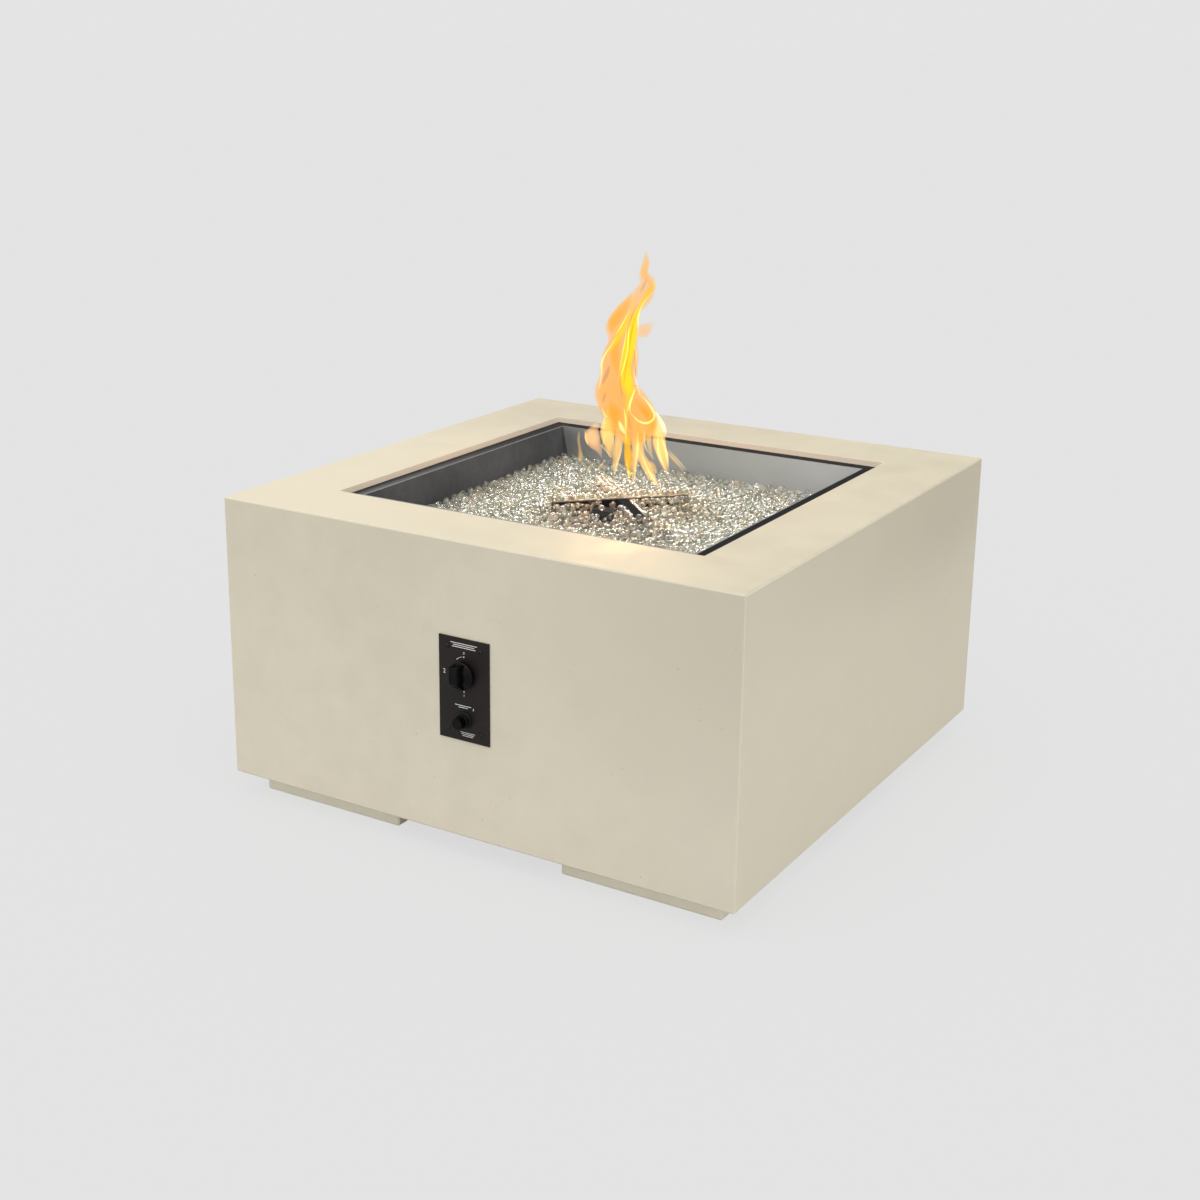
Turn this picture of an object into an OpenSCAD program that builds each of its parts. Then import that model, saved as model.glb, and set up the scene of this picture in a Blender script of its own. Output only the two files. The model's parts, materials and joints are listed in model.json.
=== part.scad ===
// Square gas fire pit table: a cast body on four feet, a drop-in burner pan with a bed of fire glass and
// a cross burner, and a front panel with a push-and-turn gas valve and a push-button igniter.
// Millimetres, +Z up, origin on the floor under the middle of the body, control panel towards -Y.

/* [Body] */
// Width and depth of the cast body
body_w = 914; // [800:1:1100]
// Height of the cast body without its feet
body_h = 467; // [420:1:600]
// Thickness of the side walls
wall_t = 24; // [20:1:40]
// Thickness of the top slab
top_t = 40; // [30:1:60]
// Thickness of the corner plates that carry the feet
corner_plate_t = 30; // [26:1:50]
// Chamfer on the outer edges
edge_ease = 2.5; // [0.5:0.5:6]

/* [Feet] */
// Side of each square foot
foot_w = 270; // [180:1:300]
// Height of each foot
foot_h = 36; // [26:1:60]
// Distance of the feet from the outer faces of the body
foot_inset = 36; // [28:1:70]
// Distance of a foot's two bolts from its middle, along X and Y
foot_bolt_offset = 75; // [40:1:80]
// Radius of the foot bolts
foot_bolt_r = 5; // [3:0.5:6]

/* [Burner pan] */
// Clear width inside the pan
pan_w = 600; // [450:1:660]
// Depth of the pan below its rim
pan_depth = 105; // [90:1:130]
// Sheet thickness of the pan
pan_sheet = 1.5; // [1:0.1:3]
// Sheet thickness of the rim frame
rim_sheet = 2; // [1:0.1:4]
// Width of the rim frame's flange
rim_flange_w = 23.5; // [16:0.5:40]
// Height of the rim frame's leg on the pan wall
rim_leg_h = 20; // [12:1:30]
// Depth of the rim below the table top
rim_drop = 8.5; // [4:0.5:20]
// Gap between the rim frame and the cast opening
rim_gap = 3; // [1:0.5:8]
// Gap between the pan and the cast throat
throat_gap = 6.5; // [3:0.5:9]
// Thickness of the gasket under the rim
gasket_t = 2; // [1:0.5:4]
// Depth of the glass surface below the rim
glass_drop = 48.5; // [40:0.5:60]
// Distance between neighbouring gems of the glass
gem_pitch = 12; // [10:0.5:24]
// Depth of the hollows between the gems
gem_relief = 9; // [2:0.5:12]
// Distance from the burner over which the heaped gems fall away
heap_reach = 36; // [20:1:60]

/* [Burner] */
// Length of each burner arm from the middle
arm_reach = 115; // [80:1:180]
// Width of a burner arm
arm_w = 17; // [14:0.5:24]
// Height of a burner arm
arm_h = 30; // [24:1:36]
// Sheet thickness of the burner arms
arm_sheet = 1.5; // [1:0.1:2.5]
// Depth of the burner's top below the rim
burner_drop = 26.5; // [18:0.5:32]
// Radius of a gas port
port_r = 1.5; // [0.8:0.1:2]
// Distance between gas ports
port_pitch = 11; // [8:0.5:20]
// Outer radius of the riser pipe
riser_r = 13.4; // [11:0.1:16]
// Wall of the riser pipe
riser_wall = 2.9; // [2:0.1:4]
// Length of the riser below the pan floor
riser_below = 38; // [30:1:60]
// Length of the air mixer below the riser
mixer_len = 45; // [35:1:60]
// Radius of the flexible gas line
flex_r = 7.5; // [6:0.5:9]

/* [Control panel] */
// Width of the panel
panel_w = 90; // [82:1:120]
// Height of the panel
panel_h = 161; // [156:1:200]
// Thickness of the panel
panel_t = 2; // [1.5:0.5:4]
// Sideways place of the panel
panel_x = 4; // [-100:1:100]
// Height of the panel's middle above the body's middle
panel_rise = 5.3; // [-30:0.1:30]
// Distance of the panel screws from the panel's edges
screw_margin = 15.3; // [12:0.1:16]
// Height of the knob's axis above the panel's middle
knob_rise = 25; // [20:1:30]
// Depth of the igniter's axis below the panel's middle
igniter_fall = 47; // [40:1:48]

/* [Knob] */
// Radius of the knob's skirt
knob_r = 21.5; // [19:0.5:25]
// Height of the knob in front of the panel
knob_depth = 30; // [26:0.5:36]
// Width of the knob's grip bar
grip_w = 15.5; // [12:0.5:18]
// Length of the grip bar at its front, from which its ends slope out to the skirt
grip_front_len = 29; // [22:0.5:36]
// Travel of the knob when it is pushed in
knob_travel = 4; // [2:0.5:5]

/* [Igniter] */
// Radius of the igniter's button
button_r = 8.75; // [7:0.25:9.5]
// Height of the button in front of the panel
button_depth = 20; // [16:0.5:24]
// Travel of the button
button_travel = 3; // [1:0.5:4]
// Length of the spark generator's housing
module_len = 60; // [56:1:80]

/* [Hidden] */
$fn = 64;
eps = 0.5;
// Clearances
slide_gap = 0.3;
thread_gap = 0.2;
press_gap = 0.05;
shoulder_gap = 0.1;
push_gap = 0.5;
glass_gap = 1;
hole_gap = 0.7;
// Heights of the cast body and of the burner pan in it
body_top = foot_h + body_h;
slab_z = body_top - top_t;
rim_top = body_top - rim_drop;
ledge_z = rim_top - rim_sheet - gasket_t;
pan_floor_top = rim_top - pan_depth;
pan_floor_z = pan_floor_top - pan_sheet;
glass_top = rim_top - glass_drop;
burner_top = rim_top - burner_drop;
burner_z = burner_top - arm_h;
// Widths of the opening, from the pan outwards
pan_outer = pan_w + 2 * pan_sheet;
pan_wall_at = (pan_w + pan_sheet) / 2;
rim_outer = pan_outer + 2 * rim_flange_w;
opening_w = rim_outer + 2 * rim_gap;
throat_w = pan_outer + 2 * rim_sheet + 2 * throat_gap;
inner_w = body_w - 2 * wall_t;
gasket_edge = 1;
// Feet
corner_margin = 10;
floor_gap_w = body_w - 2 * (foot_inset + foot_w + corner_margin);
foot_mid = body_w / 2 - foot_inset - foot_w / 2;
bolt_head_edge = 3.5;
bolt_head_r = foot_bolt_r + bolt_head_edge;
bolt_head_h = 10;
bolt_head_sink = 4;
bolt_end_gap = 2;
insert_wall = 2.2;
insert_r = foot_bolt_r + insert_wall;
insert_cover = 8;
insert_len = corner_plate_t - insert_cover;
corners = [for (sx = [-1, 1], sy = [-1, 1]) [sx, sy]];
// Burner feed, from the pan floor down
locknut_wall = 7.1;
locknut_flats = 2 * (riser_r + locknut_wall);
locknut_t = 8;
locknut_r = locknut_flats / sqrt(3);
riser_z = pan_floor_z - riser_below;
mixer_wall = 5.6;
mixer_r = riser_r + mixer_wall;
mixer_top = pan_floor_z - 2 * locknut_t;
mixer_z = riser_z - mixer_len;
mixer_floor = 4;
mixer_window_rise = 6;
mixer_window_h = 22;
mixer_window_w = 15;
jet_r = 4.9;
jet_sink = 8;
jet_rise = 14;
jet_hole_r = 0.9;
elbow_wall = 1.5;
elbow_r = flex_r + elbow_wall;
elbow_bore_r = jet_r + press_gap;
elbow_leg = 7;
elbow_z = mixer_z - elbow_r - elbow_leg;
elbow_reach = 42;
flare_wall = 3.5;
flare_flats = 2 * (flex_r + flare_wall);
flare_len = 16;
// Control panel
panel_y = -body_w / 2;
panel_front = panel_y - panel_t;
panel_z = foot_h + body_h / 2 + panel_rise;
knob_z = panel_z + knob_rise;
igniter_z = panel_z - igniter_fall;
screw_dx = panel_w / 2 - screw_margin;
screw_dz = panel_h / 2 - screw_margin;
panel_screws_at = [for (c = corners) [panel_x + c.x * screw_dx, panel_z + c.y * screw_dz]];
screw_r = 1.9;
screw_head_r = 3.6;
screw_head_h = 2.2;
screw_end_gap = 2;
anchor_r = 3;
anchor_cover = 4;
anchor_len = wall_t - anchor_cover;
// Gas valve, from the panel back
valve_w = 38;
valve_h = 44;
valve_behind_wall = 30;
valve_back = panel_y + wall_t + valve_behind_wall;
neck_r = 9;
neck_proud = 6;
neck_front = panel_front - neck_proud;
neck_nut_flats = 24;
neck_nut_t = 4;
stem_r = 4;
stem_flat = 2.7;
journal_r = 3;
plunger_r = 8.8;
plunger_len = 6;
chamber_wall = 17;
plunger_y = panel_y + chamber_wall;
chamber_r = plunger_r + slide_gap;
stem_spring_r = 6.5;
stem_spring_turns = 7;
spring_wire_r = 0.6;
journal_tail = 8;
journal_end = plunger_y + plunger_len + journal_tail;
cover_t = 5;
cover_back = valve_back + cover_t;
cover_screw_r = 1.6;
cover_screw_inset = 5;
cover_screw_len = 12;
cover_screw_edge = 1.4;
cover_screw_head_h = 2.5;
outlet_wall = 0.5;
outlet_r = flex_r + outlet_wall;
outlet_len = 10;
outlet_drop = 10;
outlet_end = cover_back + outlet_len;
sensor_port_r = 5;
sensor_port_len = 8;
sensor_port_x = 8;
sensor_port_rise = 11;
inlet_from_back = 12;
inlet_y = valve_back - inlet_from_back;
inlet_reach = 45;
inlet_leg_r = 10;
inlet_drop = 22;
inlet_pin_r = 7.94;
inlet_pin_len = 16;
inlet_bore_r = 4.8;
// Cut-out in the front wall for the valve and the igniter
cutout_side_gap = 1.5;
cutout_top_gap = 6;
cutout_w = valve_w + 2 * cutout_side_gap;
cutout_top = knob_z + valve_h / 2 + cutout_top_gap;
// Knob
knob_front = panel_front - knob_depth;
knob_back = panel_front - knob_travel - push_gap;
hollow_front = neck_front - knob_travel - push_gap;
hollow_gap = 3;
hollow_r = neck_nut_flats / sqrt(3) + hollow_gap;
skirt_t = 3.5;
skirt_slope = 3;
skirt_land = 1;
skirt_rise = 1.5;
grip_back = hollow_front - skirt_t;
grip_inset = 1;
stem_cover = 4;
stem_front = knob_front + stem_cover;
clip_t = 0.8;
clip_w = 4;
clip_end_gap = 1;
// Igniter, from the button back
collar_flange_edge = 5.25;
collar_barrel_wall = 2.75;
collar_neck_wall = 1.75;
collar_flange_r = button_r + collar_flange_edge;
collar_barrel_r = button_r + collar_barrel_wall;
collar_neck_r = button_r + collar_neck_wall;
collar_flange_t = 2.5;
collar_proud = 10;
collar_front = panel_front - collar_proud;
collar_neck_len = 12;
collar_back = panel_y + collar_neck_len;
igniter_nut_t = 5;
igniter_nut_wall = 3.5;
igniter_nut_flats = 2 * (collar_neck_r + igniter_nut_wall);
cutout_bottom = igniter_z - igniter_nut_flats / sqrt(3) - cutout_side_gap;
button_front = panel_front - button_depth;
button_spring_inset = 2;
button_spring_turns = 4;
button_spring_room = 7;
button_back = collar_back - button_travel - button_spring_room;
button_flutes = 12;
button_flute_r = 1;
button_head_len = 8;
module_r = 13;
module_wall = 2;
module_back = collar_back + module_len;
battery_r = 7.25;
battery_len = 50.5;
battery_front = collar_back + module_wall;
// Spark electrode and flame sensor, in front of the burner's middle
pilot_reach = 25;
pilot_y = -arm_w - pilot_reach;
pilot_dx = 10;
pilot_sheet = 1.5;
pilot_proud = 12;
pilot_top = glass_top + pilot_proud;
pilot_w = 36;
pilot_behind = 9;
pilot_ahead = 18;
pilot_hood_behind = 6;
pilot_base_back = pilot_y + pilot_behind;
pilot_base_front = pilot_y - pilot_ahead;
pilot_hood_back = pilot_y + pilot_hood_behind;
pilot_screw_dx = 13;
pilot_screw_ahead = 12;
pilot_screw_y = pilot_y - pilot_screw_ahead;
pilot_screw_below = 8;
pilot_base_top = pan_floor_top + pilot_sheet;
insulator_r = 4;
insulator_collar_r = 5.6;
insulator_collar_h = 4;
insulator_sink = 10;
insulator_top = glass_top - insulator_sink;
pilot_below = 20;
pilot_bottom = pan_floor_z - pilot_below;
electrode_r = 1.2;
electrode_proud = 4;
electrode_bend_z = glass_top + electrode_proud;
electrode_reach = 8;
electrode_tail = 12;
boot_r = 5.2;
boot_len = 18;
boot_bore_len = 13;
sensor_r = 3;
sensor_proud = 6;
sensor_top = glass_top + sensor_proud;
sensor_nut_flats = 11;
sensor_nut_t = 6;
// Glass gems on a grid over the pan, level but for the block that is heaped against the burner
gem_shift = 2.5;
gem_mix = [127.1, 311.7, 74.7];
gem_spread = 43758.5;
bed_w = pan_w - 2 * glass_gap;
gem_count = 2 * round(bed_w / gem_pitch / 2);
gem_mid = gem_count / 2;
heap_floor = 2;
heap_z = burner_z - glass_gap - heap_floor;
heap_sink = 1;
heap_h = burner_top - heap_sink - glass_top;
heap_run = 50;
heap_side = 3;
heap_x = arm_reach / sqrt(2) + heap_run;
heap_y = arm_reach / sqrt(2) + heap_side;
heap_cols = round(heap_x * gem_count / bed_w);
heap_rows = round(heap_y * gem_count / bed_w);
heap_least = 1.5;
heap_slope = 1.6;
heap_dip = 0.35;
dip_reach = 45;
pocket_w = pilot_w + 2 * glass_gap;
pocket_y = pilot_base_front - glass_gap;
pocket_back = pilot_base_back + glass_gap;
// Leads and gas line: control points from end to end
lead_r = 1.75;
sensor_lead_r = 1.5;
ignition_route = [
    [panel_x, module_back, igniter_z],
    [panel_x, module_back + 60, igniter_z],
    [panel_x - 74, module_back + 185, igniter_z],
    [-60, pilot_y - 18, igniter_z + 40],
    [-pilot_dx, pilot_y, pilot_bottom - boot_len - 50],
    [-pilot_dx, pilot_y, pilot_bottom - boot_len]
];
sensor_route = [
    [panel_x + sensor_port_x, cover_back + sensor_port_len, knob_z + sensor_port_rise],
    [panel_x + sensor_port_x, cover_back + sensor_port_len + 140, knob_z + sensor_port_rise],
    [pilot_dx, pilot_y, pilot_bottom - 70],
    [pilot_dx, pilot_y, pilot_bottom]
];
flex_route = [
    [panel_x, outlet_end, knob_z - outlet_drop],
    [panel_x, outlet_end + 130, knob_z - outlet_drop],
    [0, -elbow_reach - 130, elbow_z],
    [0, -elbow_reach, elbow_z]
];

// Shapes that several sub-parts share

// Square column on the Z axis
module column(w, z0, z1) {
    translate([-w / 2, -w / 2, z0]) cube([w, w, z1 - z0]);
}

// Square frame on the Z axis
module square_ring(outer, inner, z0, z1) {
    difference() {
        column(outer, z0, z1);
        column(inner, z0 - eps, z1 + eps);
    }
}

// Block on the Z axis with chamfered edges
module eased_block(w, d, h, ease) {
    intersection() {
        linear_extrude(h) eased_outline(w, d, ease);
        translate([0, d / 2, h / 2]) rotate([90, 0, 0]) linear_extrude(d) eased_outline(w, h, ease);
        translate([-w / 2, 0, h / 2]) rotate([90, 0, 90]) linear_extrude(w) eased_outline(d, h, ease);
    }
}

module eased_outline(w, h, ease) {
    a = w / 2;
    b = h / 2;
    polygon([
        [a - ease, -b], [a, ease - b], [a, b - ease], [a - ease, b],
        [ease - a, b], [-a, b - ease], [-a, ease - b], [ease - a, -b]
    ]);
}

// Upright cylinder
module post(r, z0, z1, x = 0, y = 0) {
    translate([x, y, z0]) cylinder(r = r, h = z1 - z0);
}

// Cylinder along Y
module shaft(r, y0, y1, x, z) {
    translate([x, y0, z]) rotate([-90, 0, 0]) cylinder(r = r, h = y1 - y0);
}

// Hexagon nut along Y with its bore
module nut_along_y(flats, bore, y0, y1, x, z) {
    difference() {
        translate([x, y0, z]) rotate([-90, 0, 0]) cylinder(r = flats / sqrt(3), h = y1 - y0, $fn = 6);
        shaft(bore, y0 - eps, y1 + eps, x, z);
    }
}

// Upright hexagon nut with its bore
module nut_upright(flats, bore, z0, z1, x = 0, y = 0) {
    difference() {
        translate([x, y, z0]) cylinder(r = flats / sqrt(3), h = z1 - z0, $fn = 6);
        post(bore, z0 - eps, z1 + eps, x, y);
    }
}

// Point on the smooth curve that a row of control points steers
function on_curve(p, t) =
    len(p) == 1 ? p[0] : on_curve([for (i = [0 : len(p) - 2]) p[i] * (1 - t) + p[i + 1] * t], t);

// Rings of a tube along such a curve, which never runs along X
function curve_rings(p, r, rings, sides) = [
    for (i = [0 : rings])
        let (
            t = i / rings,
            ahead = on_curve(p, min(1, t + 0.01)) - on_curve(p, max(0, t - 0.01)),
            along = ahead / norm(ahead),
            across = [1, 0, 0] - along * along.x,
            u = across / norm(across),
            v = cross(along, u)
        )
        [for (k = [0 : sides - 1]) on_curve(p, t) + r * (u * cos(360 * k / sides) + v * sin(360 * k / sides))]
];

// Rings of a coil spring along Y
function coil_rings(r, wire, y0, y1, turns, x, z, steps = 10, sides = 6) = [
    for (i = [0 : turns * steps])
        let (
            a = 360 * i / steps,
            out = [cos(a), 0, sin(a)],
            pitch = (y1 - y0 - 2 * wire) / turns,
            middle = [x, y0 + wire + pitch * i / steps, z] + r * out,
            ahead = 2 * PI * r * [-sin(a), 0, cos(a)] + [0, pitch, 0],
            v = cross(ahead / norm(ahead), out)
        )
        [for (k = [0 : sides - 1]) middle + wire * (out * cos(360 * k / sides) + v * sin(360 * k / sides))]
];

// Closed skin over a row of rings
module skin(rings) {
    n = len(rings[0]);
    last = (len(rings) - 1) * n;
    sides = [
        for (i = [0 : len(rings) - 2], k = [0 : n - 1])
            let (a = i * n + k, b = i * n + (k + 1) % n)
            each [[a, b + n, b], [a, a + n, b + n]]
    ];
    caps = [for (k = [1 : n - 2]) each [[0, k, k + 1], [last, last + k + 1, last + k]]];
    polyhedron(points = [for (ring = rings) each ring], faces = concat(sides, caps), convexity = 8);
}

// Cast body and feet

module concrete_shell() {
    color("#cfc8b4")
    difference() {
        translate([0, 0, foot_h]) eased_block(body_w, body_w, body_h, edge_ease);
        column(inner_w, foot_h + corner_plate_t, slab_z);
        floor_gap(floor_gap_w, inner_w);
        floor_gap(inner_w, floor_gap_w);
        column(opening_w, ledge_z, body_top + eps);
        column(throat_w, slab_z - eps, ledge_z + eps);
        panel_cutout();
        for (p = panel_screws_at) shaft(anchor_r, panel_y - eps, panel_y + anchor_len, p.x, p.y);
        for (p = foot_bolts_at()) post(insert_r, foot_h - eps, foot_h + insert_len, p.x, p.y);
    }
}

module floor_gap(w, d) {
    translate([-w / 2, -d / 2, foot_h - eps]) cube([w, d, corner_plate_t + 2 * eps]);
}

module panel_cutout() {
    translate([panel_x - cutout_w / 2, panel_y - eps, cutout_bottom])
        cube([cutout_w, wall_t + 2 * eps, cutout_top - cutout_bottom]);
}

function foot_bolts_at() = [
    for (c = corners, s = [-1, 1])
        [c.x * (foot_mid + s * foot_bolt_offset), c.y * (foot_mid + s * foot_bolt_offset)]
];

module foot(sx, sy) {
    color("#b9b3a1")
    difference() {
        translate([sx * foot_mid, sy * foot_mid, 0]) eased_block(foot_w, foot_w, foot_h, edge_ease);
        for (p = foot_bolts_at()) {
            post(foot_bolt_r + hole_gap, -eps, foot_h + eps, p.x, p.y);
            post(bolt_head_r + hole_gap, -eps, bolt_head_sink + bolt_head_h, p.x, p.y);
        }
    }
}

module foot_bolts() {
    color("silver")
    for (p = foot_bolts_at()) {
        post(bolt_head_r, bolt_head_sink, bolt_head_sink + bolt_head_h, p.x, p.y);
        post(foot_bolt_r, bolt_head_sink, foot_h + insert_len - bolt_end_gap, p.x, p.y);
    }
}

module foot_inserts() {
    color("#b08d4a")
    for (p = foot_bolts_at()) difference() {
        post(insert_r - press_gap, foot_h, foot_h + insert_len, p.x, p.y);
        post(foot_bolt_r + thread_gap, foot_h - eps, foot_h + insert_len + eps, p.x, p.y);
    }
}

// Burner pan and what lies in it

module rim_gasket() {
    color("#55524d")
    square_ring(rim_outer - 2 * gasket_edge, throat_w + 2 * gasket_edge, ledge_z, ledge_z + gasket_t);
}

module rim_frame() {
    color("#26262a") {
        square_ring(rim_outer, pan_outer, rim_top - rim_sheet, rim_top);
        square_ring(pan_outer + 2 * rim_sheet, pan_outer, rim_top - rim_leg_h, rim_top);
    }
}

module pan_floor() {
    weep_inset = 40;
    weep_at = pan_w / 2 - weep_inset;
    weep_r = 4;
    color("#a7a8a6")
    difference() {
        column(pan_outer, pan_floor_z, pan_floor_top);
        post(riser_r + hole_gap, pan_floor_z - eps, pan_floor_top + eps);
        pilot_holes(pan_floor_z - eps, pan_floor_top + eps);
        for (c = corners) post(weep_r, pan_floor_z - eps, pan_floor_top + eps, c.x * weep_at, c.y * weep_at);
    }
}

// Sheet wall of the pan, w by d in plan, with its middle at x, y
module pan_wall(w, d, x, y) {
    color("#a7a8a6")
    translate([x - w / 2, y - d / 2, pan_floor_top]) cube([w, d, pan_depth]);
}

module pan_wall_front() {
    pan_wall(pan_outer, pan_sheet, 0, -pan_wall_at);
}

module pan_wall_back() {
    pan_wall(pan_outer, pan_sheet, 0, pan_wall_at);
}

module pan_wall_left() {
    pan_wall(pan_sheet, pan_w, -pan_wall_at, 0);
}

module pan_wall_right() {
    pan_wall(pan_sheet, pan_w, pan_wall_at, 0);
}

// Holes for the electrode, the flame sensor and the two screws of their bracket
module pilot_holes(z0, z1) {
    post(insulator_r + slide_gap, z0, z1, -pilot_dx, pilot_y);
    post(sensor_r + slide_gap, z0, z1, pilot_dx, pilot_y);
    for (s = [-1, 1]) post(screw_r + thread_gap, z0, z1, s * pilot_screw_dx, pilot_screw_y);
}

// Number from 0 to 1 that looks random but stays the same for gem i, j
function gem_chance(i, j, k) = let (v = gem_spread * sin(gem_mix * [i, j, k])) v - floor(v);

// Place of gem i, j in plan; the outer ones stay in line
function gem_at(i, j) =
    let (shift = i > 0 && i < gem_count && j > 0 && j < gem_count ? gem_shift : 0)
    [
        bed_w * (i / gem_count - 1 / 2) + shift * (2 * gem_chance(i, j, 1) - 1),
        bed_w * (j / gem_count - 1 / 2) + shift * (2 * gem_chance(i, j, 2) - 1)
    ];

// Height of gem i, j in the level glass: every second one lies low
function gem_level(i, j) = glass_top - gem_relief * ((i + j) % 2 + gem_chance(i, j, 3)) / 2;

// Distance of a point outside the burner's arms
function arm_gap(p) =
    let (u = abs(p.x + p.y) / sqrt(2), v = abs(p.x - p.y) / sqrt(2))
    max(0, min(max(u - arm_reach, v - arm_w / 2), max(v - arm_reach, u - arm_w / 2)));

// How far the heap rises: it falls away from the arms, to its sides and round the pilot bracket
function heap_rise(p) =
    let (
        fall = exp(-pow(arm_gap(p) / heap_reach, 2)),
        dip = heap_dip * exp(-(pow(p.x, 2) + pow(p.y - pilot_base_front, 2)) / pow(dip_reach, 2)),
        side = heap_slope * min(heap_x - abs(p.x), heap_y - abs(p.y))
    )
    max(0, min(heap_h * fall * (1 - dip), side));

function is_heaped(i, j) = abs(i - gem_mid) <= heap_cols && abs(j - gem_mid) <= heap_rows;

// Block of cols by rows gems, from z0 up to the points on top of them, which lie row by row
module gem_block(tops, cols, rows, z0, odd) {
    side = cols + 1;
    n = len(tops);
    rim = concat(
        [for (i = [0 : cols - 1]) i],
        [for (j = [0 : rows - 1]) j * side + cols],
        [for (i = [cols : -1 : 1]) rows * side + i],
        [for (j = [rows : -1 : 1]) j * side]
    );
    m = len(rim);
    feet = [for (k = rim) [tops[k].x, tops[k].y, z0]];
    lid = [
        for (j = [0 : rows - 1], i = [0 : cols - 1])
            let (a = j * side + i, b = a + 1, c = b + side, d = a + side)
            each (i + j + odd) % 2 == 0 ? [[a, d, b], [b, d, c]] : [[a, c, b], [a, d, c]]
    ];
    walls = [
        for (k = [0 : m - 1])
            let (l = (k + 1) % m)
            each [[rim[k], rim[l], n + l], [rim[k], n + l, n + k], [n + m, n + k, n + l]]
    ];
    polyhedron(points = concat(tops, feet, [[0, 0, z0]]), faces = concat(lid, walls), convexity = 8);
}

// Room for the burner, its riser and the pilot bracket in the glass, up to z1
module burner_room(z1) {
    cross_bars(arm_reach + glass_gap, arm_w + 2 * glass_gap, burner_z - glass_gap, z1);
    post(riser_r + glass_gap, pan_floor_top - eps, z1);
    post(locknut_r + glass_gap, pan_floor_top - eps, pan_floor_top + locknut_t + glass_gap);
    translate([-pocket_w / 2, pocket_y, pan_floor_top - eps])
        cube([pocket_w, pocket_back - pocket_y, z1 - pan_floor_top + eps]);
}

module fire_glass() {
    tops = [
        for (j = [0 : gem_count], i = [0 : gem_count])
            let (p = gem_at(i, j))
            [p.x, p.y, is_heaped(i, j) ? heap_z : gem_level(i, j)]
    ];
    color("#c9d2c4", 0.6)
    difference() {
        gem_block(tops, gem_count, gem_count, pan_floor_top, 0);
        burner_room(burner_top + eps);
    }
}

module gem_heap() {
    i0 = gem_mid - heap_cols;
    j0 = gem_mid - heap_rows;
    tops = [
        for (j = [j0 : gem_mid + heap_rows], i = [i0 : gem_mid + heap_cols])
            let (p = gem_at(i, j))
            [p.x, p.y, max(heap_z + heap_least, gem_level(i, j) + heap_rise(p))]
    ];
    clear_back = eps - (arm_w / 2 + glass_gap) * sqrt(2);
    color("#c9d2c4", 0.6)
    difference() {
        gem_block(tops, 2 * heap_cols, 2 * heap_rows, heap_z, i0 + j0);
        burner_room(burner_top + eps);
        translate([-pocket_w / 2, pocket_y, glass_top - gem_relief])
            cube([pocket_w, clear_back - pocket_y, burner_top - glass_top + gem_relief]);
    }
}

// Burner

// Two bars that cross on the Z axis, along the pan's diagonals
module cross_bars(reach, w, z0, z1) {
    for (a = [45, 135]) rotate([0, 0, a]) translate([-reach, -w / 2, z0]) cube([2 * reach, w, z1 - z0]);
}

module burner_cross() {
    port_inset = 4;
    port_drop = 6;
    first_port = arm_w + port_inset;
    last_port = arm_reach - 2 * arm_sheet - port_r;
    port_z = burner_top - port_drop;
    color("#4a4744")
    difference() {
        cross_bars(arm_reach, arm_w, burner_z, burner_top);
        cross_bars(arm_reach - arm_sheet, arm_w - 2 * arm_sheet,
            burner_z + arm_sheet, burner_top - arm_sheet);
        post(riser_r - riser_wall, burner_z - eps, burner_z + arm_sheet + eps);
        for (a = [45 : 90 : 315], d = [first_port : port_pitch : last_port])
            rotate([0, 0, a]) translate([d, -arm_w / 2 - eps, port_z])
                rotate([-90, 0, 0]) cylinder(r = port_r, h = arm_w + 2 * eps);
    }
}

module burner_riser() {
    color("#8d8d8a")
    difference() {
        post(riser_r, riser_z, burner_z);
        post(riser_r - riser_wall, riser_z - eps, burner_z + eps);
    }
}

module burner_locknuts() {
    color("#9a9a96") {
        nut_upright(locknut_flats, riser_r + thread_gap, pan_floor_top, pan_floor_top + locknut_t);
        nut_upright(locknut_flats, riser_r + thread_gap, pan_floor_z - locknut_t, pan_floor_z);
    }
}

module air_mixer() {
    window_z = mixer_z + mixer_floor + mixer_window_rise;
    color("#8a8a88")
    difference() {
        post(mixer_r, mixer_z, mixer_top);
        post(riser_r + thread_gap, riser_z, mixer_top + eps);
        post(riser_r - riser_wall, mixer_z + mixer_floor, riser_z + eps);
        post(jet_r + thread_gap, mixer_z - eps, mixer_z + mixer_floor + eps);
        translate([-mixer_window_w / 2, -mixer_r - eps, window_z])
            cube([mixer_window_w, 2 * mixer_r + 2 * eps, mixer_window_h]);
    }
}

module gas_jet() {
    color("#c8a24c")
    difference() {
        post(jet_r, mixer_z - jet_sink, mixer_z + jet_rise);
        post(jet_hole_r, mixer_z - jet_sink - eps, mixer_z + jet_rise + eps);
    }
}

module burner_elbow() {
    color("#b8954a")
    difference() {
        union() {
            post(elbow_r, elbow_z, mixer_z);
            shaft(elbow_r, -elbow_reach, 0, 0, elbow_z);
            translate([0, 0, elbow_z]) sphere(elbow_r);
        }
        post(elbow_bore_r, elbow_z, mixer_z + eps);
        shaft(elbow_bore_r, -elbow_reach - eps, 0, 0, elbow_z);
    }
}

module flex_line() {
    color("#d2b45a") skin(curve_rings(flex_route, flex_r, 24, 12));
}

module flare_nuts() {
    bore = flex_r + thread_gap;
    color("#b8954a") {
        nut_along_y(flare_flats, bore, outlet_end, outlet_end + flare_len, panel_x, knob_z - outlet_drop);
        nut_along_y(flare_flats, bore, -elbow_reach - flare_len, -elbow_reach, 0, elbow_z);
    }
}

// Gas valve

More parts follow.
